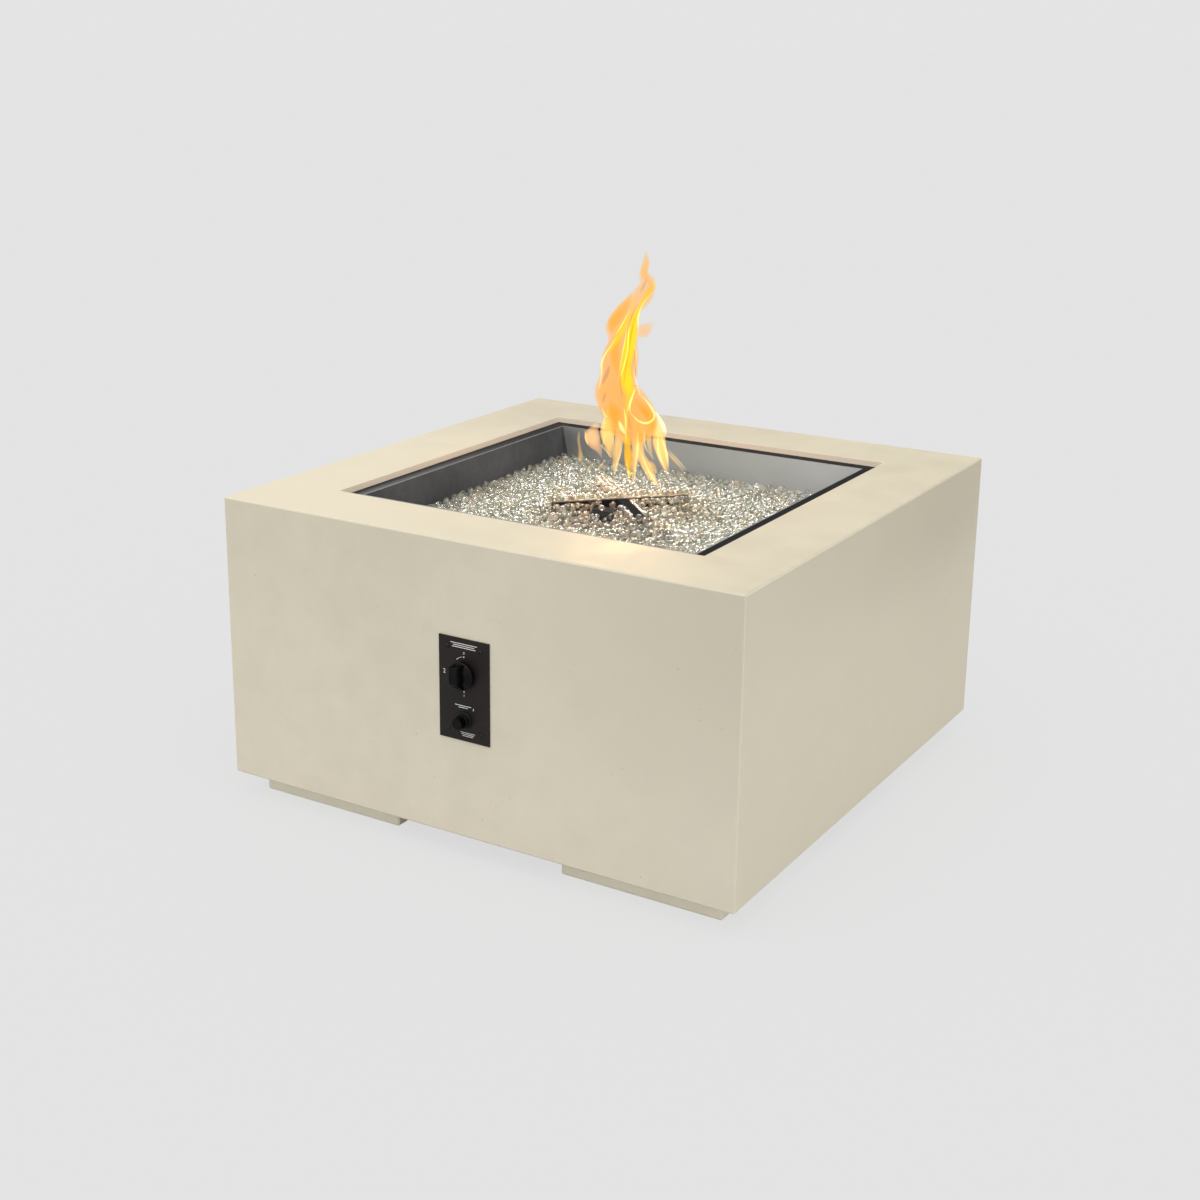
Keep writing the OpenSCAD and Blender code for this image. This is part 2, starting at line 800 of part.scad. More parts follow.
module valve_body() {
    color("#8f8f92")
    difference() {
        union() {
            valve_block(panel_y, valve_back);
            shaft(neck_r, neck_front, panel_y + eps, panel_x, knob_z);
        }
        shaft(stem_r + slide_gap, neck_front - eps, valve_back, panel_x, knob_z);
        shaft(chamber_r, plunger_y - slide_gap, valve_back + eps, panel_x, knob_z);
        translate([panel_x - valve_w / 2 - eps, inlet_y, knob_z]) rotate([0, 90, 0])
            cylinder(r = inlet_bore_r, h = valve_w / 2);
        cover_screw_shafts(cover_screw_r + press_gap, valve_back - cover_screw_len, valve_back + eps);
    }
}

module valve_block(y0, y1) {
    translate([panel_x - valve_w / 2, y0, knob_z - valve_h / 2]) cube([valve_w, y1 - y0, valve_h]);
}

// Cylinders at the valve cover's four screws, as holes or as the screws
module cover_screw_shafts(r, y0, y1) {
    dx = valve_w / 2 - cover_screw_inset;
    dz = valve_h / 2 - cover_screw_inset;
    for (c = corners) shaft(r, y0, y1, panel_x + c.x * dx, knob_z + c.y * dz);
}

module valve_cover() {
    color("#7f8084")
    difference() {
        union() {
            valve_block(valve_back, cover_back);
            shaft(outlet_r, cover_back - eps, outlet_end, panel_x, knob_z - outlet_drop);
            shaft(sensor_port_r, cover_back - eps, cover_back + sensor_port_len,
                panel_x + sensor_port_x, knob_z + sensor_port_rise);
        }
        shaft(inlet_bore_r, valve_back - eps, outlet_end + eps, panel_x, knob_z - outlet_drop);
        cover_screw_shafts(cover_screw_r + thread_gap, valve_back - eps, cover_back + eps);
    }
}

module valve_cover_screws() {
    color("silver") {
        cover_screw_shafts(cover_screw_r, cover_back - cover_screw_len, cover_back);
        cover_screw_shafts(cover_screw_r + cover_screw_edge, cover_back, cover_back + cover_screw_head_h);
    }
}

module valve_nut() {
    color("#9c9c98")
    nut_along_y(neck_nut_flats, neck_r + thread_gap, panel_front - neck_nut_t, panel_front, panel_x, knob_z);
}

module valve_stem() {
    color("#b9a05c") {
        difference() {
            shaft(stem_r, stem_front, plunger_y - shoulder_gap, panel_x, knob_z);
            translate([panel_x - stem_r, stem_front - eps, knob_z + stem_flat])
                cube([2 * stem_r, hollow_front - stem_front, stem_r]);
        }
        shaft(journal_r, plunger_y - 2 * shoulder_gap, journal_end, panel_x, knob_z);
    }
}

module stem_plunger() {
    color("#a9a9ad")
    difference() {
        shaft(plunger_r, plunger_y, plunger_y + plunger_len, panel_x, knob_z);
        shaft(journal_r + press_gap, plunger_y - eps, plunger_y + plunger_len + eps, panel_x, knob_z);
    }
}

module stem_spring() {
    color("silver")
    skin(coil_rings(stem_spring_r, spring_wire_r, plunger_y + plunger_len, valve_back, stem_spring_turns,
        panel_x, knob_z));
}

module inlet_elbow() {
    x0 = panel_x - valve_w / 2;
    x1 = panel_x - inlet_reach;
    pin_z = knob_z - inlet_drop;
    color("#b8954a")
    difference() {
        union() {
            translate([x1, inlet_y, knob_z]) rotate([0, 90, 0]) cylinder(r = inlet_leg_r, h = x0 - x1);
            translate([x1, inlet_y, knob_z]) sphere(inlet_leg_r);
            post(inlet_leg_r, pin_z, knob_z, x1, inlet_y);
            post(inlet_pin_r, pin_z - inlet_pin_len, pin_z + eps, x1, inlet_y);
        }
        translate([x1, inlet_y, knob_z]) rotate([0, 90, 0]) cylinder(r = inlet_bore_r, h = x0 - x1 + eps);
        post(inlet_bore_r, pin_z - inlet_pin_len - eps, knob_z, x1, inlet_y);
    }
}

// Knob

module knob() {
    skirt_front = grip_back + skirt_land;
    color("#17181b")
    difference() {
        union() {
            shaft(knob_r, skirt_front, knob_back, panel_x, knob_z);
            translate([panel_x, grip_back - skirt_rise, knob_z]) rotate([-90, 0, 0])
                cylinder(r1 = knob_r - skirt_slope, r2 = knob_r, h = skirt_land + skirt_rise);
            intersection() {
                translate([panel_x, knob_front, knob_z]) rotate([-90, 0, 0])
                    cylinder(r1 = grip_front_len / 2, r2 = knob_r - grip_inset, h = grip_back - knob_front);
                translate([panel_x - grip_w / 2, knob_front, knob_z - knob_r])
                    cube([grip_w, grip_back - knob_front, 2 * knob_r]);
            }
        }
        shaft(hollow_r, hollow_front, knob_back + eps, panel_x, knob_z);
        shaft(stem_r + press_gap, stem_front, hollow_front + eps, panel_x, knob_z);
    }
}

module knob_clip() {
    clip_z = knob_z + stem_flat + press_gap;
    clip_len = hollow_front - stem_front - 2 * clip_end_gap;
    color("silver")
    translate([panel_x - clip_w / 2, stem_front + clip_end_gap, clip_z]) cube([clip_w, clip_len, clip_t]);
}

// Control panel

module control_panel() {
    color("#2a2523")
    difference() {
        translate([panel_x - panel_w / 2, panel_front, panel_z - panel_h / 2])
            cube([panel_w, panel_t, panel_h]);
        shaft(neck_r + slide_gap, panel_front - eps, panel_y + eps, panel_x, knob_z);
        shaft(collar_neck_r + slide_gap, panel_front - eps, panel_y + eps, panel_x, igniter_z);
        for (p = panel_screws_at) shaft(screw_r + slide_gap, panel_front - eps, panel_y + eps, p.x, p.y);
    }
}

module panel_screws() {
    color("#1d1c1c")
    for (p = panel_screws_at) {
        shaft(screw_head_r, panel_front - screw_head_h, panel_front, p.x, p.y);
        shaft(screw_r, panel_front - eps, panel_y + anchor_len - screw_end_gap, p.x, p.y);
    }
}

module panel_anchors() {
    color("#d8d6cf")
    for (p = panel_screws_at) difference() {
        shaft(anchor_r - press_gap, panel_y, panel_y + anchor_len, p.x, p.y);
        shaft(screw_r + press_gap, panel_y - eps, panel_y + anchor_len + eps, p.x, p.y);
    }
}

// Igniter

module igniter_collar() {
    color("#141518")
    difference() {
        union() {
            shaft(collar_flange_r, panel_front - collar_flange_t, panel_front, panel_x, igniter_z);
            shaft(collar_barrel_r, collar_front, panel_front, panel_x, igniter_z);
            shaft(collar_neck_r, panel_front - eps, collar_back, panel_x, igniter_z);
        }
        shaft(button_r + slide_gap, collar_front - eps, collar_back + eps, panel_x, igniter_z);
    }
}

module igniter_nut() {
    color("#2c2d30")
    nut_along_y(igniter_nut_flats, collar_neck_r + thread_gap, panel_y, panel_y + igniter_nut_t,
        panel_x, igniter_z);
}

module igniter_module() {
    color("#303236")
    difference() {
        shaft(module_r, collar_back, module_back, panel_x, igniter_z);
        shaft(battery_r + slide_gap, battery_front, battery_front + battery_len + slide_gap,
            panel_x, igniter_z);
    }
}

module igniter_battery() {
    color("#6d7a52")
    shaft(battery_r, battery_front, battery_front + battery_len, panel_x, igniter_z);
}

module igniter_button() {
    color("#101114")
    difference() {
        shaft(button_r, button_front, button_back, panel_x, igniter_z);
        for (i = [1 : button_flutes])
            translate([panel_x, 0, igniter_z]) rotate([0, 360 * i / button_flutes, 0])
                shaft(button_flute_r, button_front - eps, button_front + button_head_len, button_r, 0);
    }
}

module igniter_spring() {
    color("silver")
    skin(coil_rings(button_r - button_spring_inset, spring_wire_r, button_back, collar_back,
        button_spring_turns, panel_x, igniter_z));
}

// Spark electrode, flame sensor and leads

module ignition_lead() {
    color("#a23b2c") skin(curve_rings(ignition_route, lead_r, 36, 8));
}

module sensor_lead() {
    color("#b87349") skin(curve_rings(sensor_route, sensor_lead_r, 32, 8));
}

module electrode_boot() {
    color("#23211f")
    difference() {
        post(boot_r, pilot_bottom - boot_len, pilot_bottom, -pilot_dx, pilot_y);
        post(electrode_r + press_gap, pilot_bottom - boot_bore_len, pilot_bottom + eps, -pilot_dx, pilot_y);
    }
}

module electrode_insulator() {
    color("#f1eee6") {
        post(insulator_r, pilot_bottom, insulator_top, -pilot_dx, pilot_y);
        post(insulator_collar_r, pilot_base_top, pilot_base_top + insulator_collar_h, -pilot_dx, pilot_y);
    }
}

module electrode_rod() {
    color("#77777a") {
        post(electrode_r, insulator_top, electrode_bend_z, -pilot_dx, pilot_y);
        translate([-pilot_dx, pilot_y, electrode_bend_z]) sphere(electrode_r);
        shaft(electrode_r, pilot_y, pilot_y + electrode_reach, -pilot_dx, electrode_bend_z);
        post(electrode_r, pilot_bottom - electrode_tail, pilot_bottom, -pilot_dx, pilot_y);
    }
}

module pilot_bracket() {
    color("#1f1d1c")
    difference() {
        union() {
            pilot_plate(pilot_base_front, pilot_base_back, pan_floor_top, pilot_base_top);
            pilot_plate(pilot_base_front, pilot_base_front + pilot_sheet, pan_floor_top, pilot_top);
            pilot_plate(pilot_base_front, pilot_hood_back, pilot_top - pilot_sheet, pilot_top);
        }
        pilot_holes(pan_floor_top - eps, pilot_base_top + eps);
    }
}

module pilot_plate(y0, y1, z0, z1) {
    translate([-pilot_w / 2, y0, z0]) cube([pilot_w, y1 - y0, z1 - z0]);
}

module pilot_screws() {
    color("silver")
    for (s = [-1, 1]) {
        post(screw_r, pan_floor_z - pilot_screw_below, pilot_base_top, s * pilot_screw_dx, pilot_screw_y);
        post(screw_head_r, pilot_base_top, pilot_base_top + screw_head_h, s * pilot_screw_dx, pilot_screw_y);
    }
}

module flame_sensor() {
    color("#a7704a") {
        post(sensor_r, pilot_bottom, sensor_top - sensor_r, pilot_dx, pilot_y);
        translate([pilot_dx, pilot_y, sensor_top - sensor_r]) sphere(sensor_r);
    }
}

module sensor_nut() {
    color("#b8954a")
    nut_upright(sensor_nut_flats, sensor_r + thread_gap, pilot_base_top, pilot_base_top + sensor_nut_t,
        pilot_dx, pilot_y);
}

concrete_shell();
foot(-1, -1);  // foot_front_left
foot(1, -1);  // foot_front_right
foot(-1, 1);  // foot_back_left
foot(1, 1);  // foot_back_right
foot_bolts();
foot_inserts();
rim_gasket();
rim_frame();
pan_floor();
pan_wall_front();
pan_wall_back();
pan_wall_left();
pan_wall_right();
fire_glass();
gem_heap();
burner_cross();
burner_riser();
burner_locknuts();
air_mixer();
gas_jet();
burner_elbow();
flex_line();
flare_nuts();
valve_body();
valve_cover();
valve_cover_screws();
valve_nut();
valve_stem();
stem_plunger();
stem_spring();
inlet_elbow();
knob();
knob_clip();
control_panel();
panel_screws();
panel_anchors();
igniter_collar();
igniter_nut();
igniter_module();
igniter_battery();
igniter_button();
igniter_spring();
ignition_lead();
electrode_boot();
electrode_insulator();
electrode_rod();
pilot_bracket();
pilot_screws();
flame_sensor();
sensor_nut();
sensor_lead();
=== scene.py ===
import json
import math
import random

import bpy
import numpy as np
from mathutils import Matrix, Vector, noise

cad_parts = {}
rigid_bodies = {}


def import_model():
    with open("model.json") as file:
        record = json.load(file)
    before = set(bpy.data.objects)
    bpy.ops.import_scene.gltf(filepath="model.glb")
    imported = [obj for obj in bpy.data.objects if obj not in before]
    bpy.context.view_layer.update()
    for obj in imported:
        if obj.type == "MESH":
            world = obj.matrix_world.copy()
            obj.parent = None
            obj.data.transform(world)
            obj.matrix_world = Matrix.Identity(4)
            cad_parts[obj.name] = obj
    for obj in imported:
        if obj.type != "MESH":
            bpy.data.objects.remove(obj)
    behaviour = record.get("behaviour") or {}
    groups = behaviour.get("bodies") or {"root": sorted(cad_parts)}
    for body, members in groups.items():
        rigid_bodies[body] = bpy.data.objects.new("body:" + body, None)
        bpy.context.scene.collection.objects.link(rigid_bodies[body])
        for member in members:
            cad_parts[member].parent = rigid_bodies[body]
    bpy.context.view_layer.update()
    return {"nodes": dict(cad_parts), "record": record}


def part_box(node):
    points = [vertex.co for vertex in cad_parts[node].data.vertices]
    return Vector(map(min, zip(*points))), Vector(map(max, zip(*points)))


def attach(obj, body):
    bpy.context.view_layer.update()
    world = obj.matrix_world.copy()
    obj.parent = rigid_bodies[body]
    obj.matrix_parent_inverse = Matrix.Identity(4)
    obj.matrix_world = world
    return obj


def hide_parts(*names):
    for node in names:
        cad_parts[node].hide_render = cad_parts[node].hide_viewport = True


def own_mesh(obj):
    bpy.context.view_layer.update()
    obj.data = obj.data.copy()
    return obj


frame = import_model()
nodes, record = frame["nodes"], frame["record"]
bodyOf = {node: body for body, members in record["behaviour"]["bodies"].items() for node in members}
slotOf = {part["node"]: part["material_slot"] for part in record["subparts"]}
scene = bpy.context.scene
scene.view_settings.view_transform = "Standard"
print("frame loaded,", len(nodes), "nodes")


# small tools for modelling

def clearSelection():
    if bpy.context.object and bpy.context.mode != "OBJECT":
        bpy.ops.object.mode_set(mode="OBJECT")
    bpy.ops.object.select_all(action="DESELECT")


def only(piece):
    clearSelection()
    piece.select_set(True)
    bpy.context.view_layer.objects.active = piece


def named(name):
    piece = bpy.context.object
    piece.name = name
    piece.data.name = name
    return piece


def editAll(piece):
    only(piece)
    bpy.ops.object.mode_set(mode="EDIT")
    bpy.ops.mesh.select_all(action="SELECT")


def endEdit():
    bpy.ops.object.mode_set(mode="OBJECT")


def settle(piece):
    only(piece)
    bpy.ops.object.transform_apply(location=True, rotation=True, scale=True)
    return piece


def pick(piece, test):
    # selects faces by their middle and normal, and stays in edit mode
    only(piece)
    bpy.ops.object.mode_set(mode="EDIT")
    bpy.ops.mesh.select_mode(type="FACE")
    bpy.ops.mesh.select_all(action="DESELECT")
    bpy.ops.object.mode_set(mode="OBJECT")
    for face in piece.data.polygons:
        face.select = bool(test(face.center, face.normal))
    bpy.ops.object.mode_set(mode="EDIT")


def modify(piece, kind, **settings):
    only(piece)
    bpy.ops.object.modifier_add(type=kind)
    modifier = piece.modifiers[-1]
    for key, value in settings.items():
        setattr(modifier, key, value)
    bpy.ops.object.modifier_apply(modifier=modifier.name)


def joined(name, pieces):
    clearSelection()
    for piece in pieces:
        piece.select_set(True)
    bpy.context.view_layer.objects.active = pieces[0]
    bpy.ops.object.join()
    return named(name)


def smooth(piece, degrees=35):
    only(piece)
    bpy.ops.object.shade_smooth_by_angle(angle=math.radians(degrees))


def block(name, place, size):
    clearSelection()
    bpy.ops.mesh.primitive_cube_add(size=1, location=place, scale=size)
    return settle(named(name))


def meshPiece(name, points, faces, edges=()):
    mesh = bpy.data.meshes.new(name)
    mesh.from_pydata(points, edges, faces)
    mesh.update()
    piece = bpy.data.objects.new(name, mesh)
    scene.collection.objects.link(piece)
    only(piece)
    return piece


def turned(name, profile, x, z, steps=64):
    # spins a (radius, y) profile round an axis along Y
    points = [(x + r, y, z) for r, y in profile]
    piece = meshPiece(name, points, [], [(i, i + 1) for i in range(len(points) - 1)])
    editAll(piece)
    bpy.ops.mesh.spin(steps=steps, angle=2 * math.pi, center=(x, 0, z), axis=(0, 1, 0))
    bpy.ops.mesh.select_all(action="SELECT")
    bpy.ops.mesh.remove_doubles(threshold=1e-6)
    bpy.ops.mesh.normals_make_consistent(inside=False)
    endEdit()
    return piece


def mergedCopy(node, name):
    # a node's own form with its triangles joined at their corners; it stays in edit mode
    piece = bpy.data.objects.new(name, nodes[node].data.copy())
    piece.data.name = name
    scene.collection.objects.link(piece)
    only(piece)
    bpy.ops.mesh.customdata_custom_splitnormals_clear()
    editAll(piece)
    bpy.ops.mesh.remove_doubles(threshold=2e-6)
    return piece


def easedCopy(node, name, width, segments=2, angle=28):
    # a merged copy with its edges rounded
    piece = mergedCopy(node, name)
    bpy.ops.mesh.dissolve_limited(angle_limit=math.radians(0.5))
    endEdit()
    smooth(piece, angle)
    modify(piece, "BEVEL", width=width, segments=segments, limit_method="ANGLE",
           angle_limit=math.radians(angle), use_clamp_overlap=True, harden_normals=True)
    return piece


def dress(piece, finish):
    piece.data.materials.clear()
    piece.data.materials.append(finish)
    for face in piece.data.polygons:
        face.material_index = 0


lit = {}


def lightOnly(lamp, group):
    # the lamp lights only the pieces that are put in this group
    if group not in lit:
        lit[group] = bpy.data.collections.new(group)
    lamp.light_linking.receiver_collection = lit[group]


def fit(piece, *replaced, finish=None):
    # the piece stands for these nodes, with the body and the slot of the first
    slot = slotOf[replaced[0]]
    dress(piece, finish or slots[slot])
    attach(piece, bodyOf[replaced[0]])
    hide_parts(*replaced)


# shader sums: a socket that can be added, scaled and compared

class Wire:
    def __init__(self, finish, socket):
        self.finish = finish
        self.socket = socket

    def math(self, operation, first, second=0.0):
        return self.finish.add("Math", {"operation": operation}, {0: first, 1: second})

    def __add__(self, other):
        return self.math("ADD", self, other)

    def __sub__(self, other):
        return self.math("SUBTRACT", self, other)

    def __rsub__(self, other):
        return self.math("SUBTRACT", other, self)

    def __mul__(self, other):
        return self.math("MULTIPLY", self, other)

    __radd__, __rmul__ = __add__, __mul__

    def most(self, other):
        return self.math("MAXIMUM", self, other)

    def over(self, edge):
        return self.math("GREATER_THAN", self, edge)

    def ramp(self, low, high, start=0.0, end=1.0):
        sockets = {"Value": self, "From Min": low, "From Max": high, "To Min": start, "To Max": end}
        return self.finish.add("MapRange", {"interpolation_type": "SMOOTHSTEP"}, sockets)


class Finish:
    def __init__(self, name=None, tree=None, **sockets):
        if tree is None:
            self.material = bpy.data.materials.new(name)
            self.material.use_nodes = True
            tree = self.material.node_tree
            self.shader = tree.nodes["Principled BSDF"]
            self.output = tree.nodes["Material Output"]
        self.tree = tree
        for key, value in sockets.items():
            self.set(key, value)

    def put(self, socket, value):
        if isinstance(value, Wire):
            self.tree.links.new(value.socket, socket)
        else:
            socket.default_value = value

    def set(self, key, value):
        if isinstance(value, tuple) and len(value) == 3 and "Color" in key:
            value = (*value, 1.0)
        self.put(self.shader.inputs[key], value)

    def add(self, kind, settings=None, sockets=None, out=0):
        node = self.tree.nodes.new("ShaderNode" + kind)
        for key, value in (settings or {}).items():
            if key == "stops":
                while len(node.color_ramp.elements) < len(value):
                    node.color_ramp.elements.new(0.5)
                for stop, (place, colour) in zip(node.color_ramp.elements, value):
                    stop.position = place
                    stop.color = (*colour, 1.0)
            else:
                setattr(node, key, value)
        for key, value in (sockets or {}).items():
            self.put(node.inputs[key], value)
        return Wire(self, node.outputs[out])

    def place(self, scale=None):
        where = self.add("TexCoord", out="Object")
        if scale is None:
            return where
        return self.add("Mapping", sockets={"Vector": where, "Scale": scale})

    def axes(self):
        split = self.add("SeparateXYZ", sockets={0: self.place()})
        parts = split.socket.node.outputs
        return [Wire(self, parts[i]) for i in range(3)]

    def rays(self):
        # camera rays, rays through glass, and all that may show the background
        path = self.add("LightPath").socket.node.outputs
        direct, gloss, through = [Wire(self, path["Is " + kind + " Ray"])
                                  for kind in ("Camera", "Glossy", "Transmission")]
        return direct, through, direct.most(gloss).most(through)

    def cloud(self, scale, detail=3.0, rough=0.5, where=None):
        return self.add("TexNoise", sockets={"Vector": where or self.place(), "Scale": scale,
                                             "Detail": detail, "Roughness": rough})

    def cells(self, scale, out="Distance", where=None):
        return self.add("TexVoronoi", sockets={"Vector": where or self.place(), "Scale": scale}, out=out)

    def blend(self, share, first, second):
        first, second = [(*c, 1.0) if isinstance(c, tuple) else c for c in (first, second)]
        return self.add("Mix", {"data_type": "RGBA"}, {0: share, 6: first, 7: second}, out=2)

    def tinted(self, share, colour, factor):
        factor = (*factor, 1.0) if isinstance(factor, tuple) else factor
        return self.add("Mix", {"data_type": "RGBA", "blend_type": "MULTIPLY"},
                        {0: share, 6: colour, 7: factor}, out=2)

    def bump(self, height, depth, strength=1.0):
        sockets = {"Height": height, "Distance": depth, "Strength": strength}
        self.set("Normal", self.add("Bump", sockets=sockets))


# camera

shot = {"azimuth": 32.0128, "elevation": 16.0987, "roll": 0.3552, "place": (1.44218, -2.49475, 1.23608),
        "lens": 53.96, "shift": (0.0333, -0.0558)}


def placeCamera():
    clearSelection()
    bpy.ops.object.camera_add()
    camera = named("shotCamera")
    turn = Matrix.Rotation(math.radians(shot["azimuth"]), 4, "Z")
    tilt = Matrix.Rotation(math.radians(90 - shot["elevation"]), 4, "X")
    roll = Matrix.Rotation(math.radians(shot["roll"]), 4, "Z")
    camera.matrix_world = Matrix.Translation(shot["place"]) @ turn @ tilt @ roll
    camera.data.sensor_width = 36
    camera.data.lens = shot["lens"]
    camera.data.shift_x, camera.data.shift_y = shot["shift"]
    camera.data.clip_end = 200
    scene.camera = camera


placeCamera()
print("camera placed")


# stage: floor, world and lamps

studio = {"paper": 0.776, "sky": 0.72, "floor": 0.62, "floorShare": 0.13, "floorSize": 120,
          "darkSide": (0.62, 0.78, 0.0), "mirrored": (1.15, 0.12), "windows": (0.12, 2.6),
          "lamps": [   # name, strength, spread in degrees, direction towards the lamp
              ("overheadLamp", 1.50, 75, (0.10, -0.36, 0.92)), ("rightLamp", 0.22, 60, (0.85, -0.35, 0.40)),
              ("sparkLamp", 2.2, 11, (-0.30, -0.30, 0.90)), ("sparkBehind", 4.0, 40, (-0.45, 0.62, 0.64))]}


def makeStage():
    world = bpy.data.worlds.new("studioWorld")
    scene.world = world
    world.use_nodes = True
    sky = Finish(tree=world.node_tree)
    for node in list(sky.tree.nodes):
        sky.tree.nodes.remove(node)
    direct, through, seen = sky.rays()
    dome = sky.add("Background", sockets={"Color": (1, 1, 1, 1), "Strength": studio["sky"]})
    bearing = sky.add("VectorMath", {"operation": "DOT_PRODUCT"},
                      {0: sky.add("TexCoord", out="Generated"), 1: studio["darkSide"]}, out="Value")
    mirrored = bearing.ramp(-0.5, 0.75, *studio["mirrored"])
    panes = sky.cloud(3.2, 1.0, 0.5, sky.add("TexCoord", out="Generated"))
    windows = panes.ramp(0.47, 0.56, *studio["windows"])
    tone = direct * studio["paper"] + (1 - direct) * (through * windows + (1 - through) * mirrored)
    paper = sky.add("Background", sockets={"Color": (1, 1, 1, 1), "Strength": tone})
    mixed = sky.add("MixShader", sockets={0: seen, 1: dome, 2: paper})
    output = sky.tree.nodes.new("ShaderNodeOutputWorld")
    sky.put(output.inputs["Surface"], mixed)

    clearSelection()
    bpy.ops.mesh.primitive_plane_add(size=studio["floorSize"])
    floor = named("studioFloor")
    paint = Finish("studioPaper", Roughness=1.0)
    paint.set("Base Color", (studio["floor"],) * 3)
    paint.set("Specular IOR Level", 0.0)
    seen = paint.rays()[2]
    glow = paint.add("Emission", sockets={"Color": (1, 1, 1, 1), "Strength": studio["paper"]})
    below = paint.add("NewGeometry", out="Backfacing")
    top = paint.add("MixShader", sockets={0: seen * (1 - studio["floorShare"]),
                                          1: Wire(paint, paint.shader.outputs[0]), 2: glow})
    clearBack = paint.add("BsdfTransparent")
    mixed = paint.add("MixShader", sockets={0: below, 1: top, 2: clearBack})
    paint.put(paint.output.inputs["Surface"], mixed)
    dress(floor, paint.material)

    for name, strength, spread, towards in studio["lamps"]:
        clearSelection()
        bpy.ops.object.light_add(type="SUN")
        lamp = named(name)
        lamp.data.energy = strength
        lamp.data.angle = math.radians(spread)
        lamp.rotation_mode = "QUATERNION"
        lamp.rotation_quaternion = Vector(towards).to_track_quat("Z", "Y")
        if name.startswith("spark"):   # seen only in gloss, for glints on the gems
            lamp.visible_diffuse = False
            lightOnly(lamp, "gems")


makeStage()
print("stage lit")


# finishes

bodyFaces = {"half": 0.457, "top": 0.503, "opening": 0.329, "paintedStepLight": (0.86, 0.78, 0.66),
             "paintedStepShare": 0.75}


def scaled(tone, factor):
    return tuple(c * factor for c in tone)


def shadeFaces(look, colour, tone):
    # painted light and shade on the body's faces, as in the photograph: a paler step round the opening, a top
    # lit lighter at the left front, tinted warmer and shaded at the back right, a front shaded to the right
    # and lit lighter low down, and a right face lit lighter low at the front and shaded high up
    f = bodyFaces
    x, y, z = look.axes()
    reach = x.math("ABSOLUTE", x).most(y.math("ABSOLUTE", y))
    inside = reach.ramp(f["opening"] - 0.0005, f["opening"] + 0.0002, 1.0, 0.0)
    # painted light: the step round the opening is paler to offset its shade
    colour = look.blend(inside * f["paintedStepShare"], colour, f["paintedStepLight"])
    top = z.ramp(f["top"] - 0.0020, f["top"] - 0.0004) * (1 - inside)
    # painted light and shade on the top: lighter towards the left front, a warmer tint, darker towards the
    # back right
    paintedLightTop = (x * -0.75 - y * 0.6).ramp(-0.1, 0.5) * top
    colour = look.blend(paintedLightTop, colour, scaled(tone, 1.13))
    colour = look.tinted(top, colour, (1.0, 0.985, 0.945))
    colour = look.tinted(top * (y - x * 0.6).ramp(0.25, 0.6), colour, (0.955, 0.945, 0.955))
    front = y.ramp(0.0008 - f["half"], 0.0015 - f["half"], 1.0, 0.0)
    # painted shade and light on the front: darker towards the right, lighter low down
    paintedShadeFront = x.ramp(-0.05, f["half"]) * z.ramp(0.05, 0.45, 0.4, 0.9)
    colour = look.blend(front * paintedShadeFront, colour, scaled(tone, 0.9))
    colour = look.tinted(front * z.ramp(0.05, 0.46, 1.0, 0.1), colour, (1.075, 1.075, 1.10))
    right = x.ramp(f["half"] - 0.0015, f["half"] - 0.0008)
    # painted light on the right face low at the front, painted shade high up
    colour = look.blend(right * (y * -0.5 - z).ramp(-0.6, -0.15), colour, scaled(tone, 1.09))
    upper = right * z.ramp(0.30, 0.45) * y.ramp(-0.45, 0.4, 0.3, 1.0)
    return look.tinted(upper, colour, (0.91, 0.90, 0.88))


def concreteFinish(name, tone, shade, faces=False):
    look = Finish(name, Roughness=0.6)
    where = look.place()
    drift = look.cloud(2.2, 3.0, 0.55, where)
    mottle = look.cloud(19.0, 4.0, 0.6, where)
    grain = look.cloud(310.0, 2.0, 0.6, where)
    share = (drift * 0.5 + mottle * 0.38 + grain * 0.12).ramp(0.3, 0.7)
    pale = scaled(tone, 1.055)
    dull = tuple(c * k for c, k in zip(tone, shade))
    colour = look.blend(share, dull, pale)
    if faces:
        colour = shadeFaces(look, colour, tone)
    # pinholes and fine pits: sunk by the bump, and darkened in colour as painted shade in their hollows
    pits = look.cells(58.0, where=where)
    chosen = look.add("SeparateColor", sockets={0: look.cells(58.0, "Color", where)}).over(0.80)
    shadedPinhole = pits.ramp(0.045, 0.075, 1.0, 0.0) * chosen
    fine = look.cells(210.0, where=where)
    fewer = look.add("SeparateColor", sockets={0: look.cells(210.0, "Color", where)}).over(0.93)
    shadedPit = fine.ramp(0.06, 0.12, 1.0, 0.0) * fewer
    look.set("Base Color", look.blend(shadedPinhole * 0.55 + shadedPit * 0.3, colour, scaled(tone, 0.42)))
    look.set("Roughness", mottle.ramp(0.3, 0.7, 0.5, 0.68))
    look.set("Specular IOR Level", 0.35)
    look.bump(grain * 0.25 + mottle * 0.6 - shadedPinhole * 1.4 - shadedPit * 0.5, 0.0006, 0.5)
    return look.material


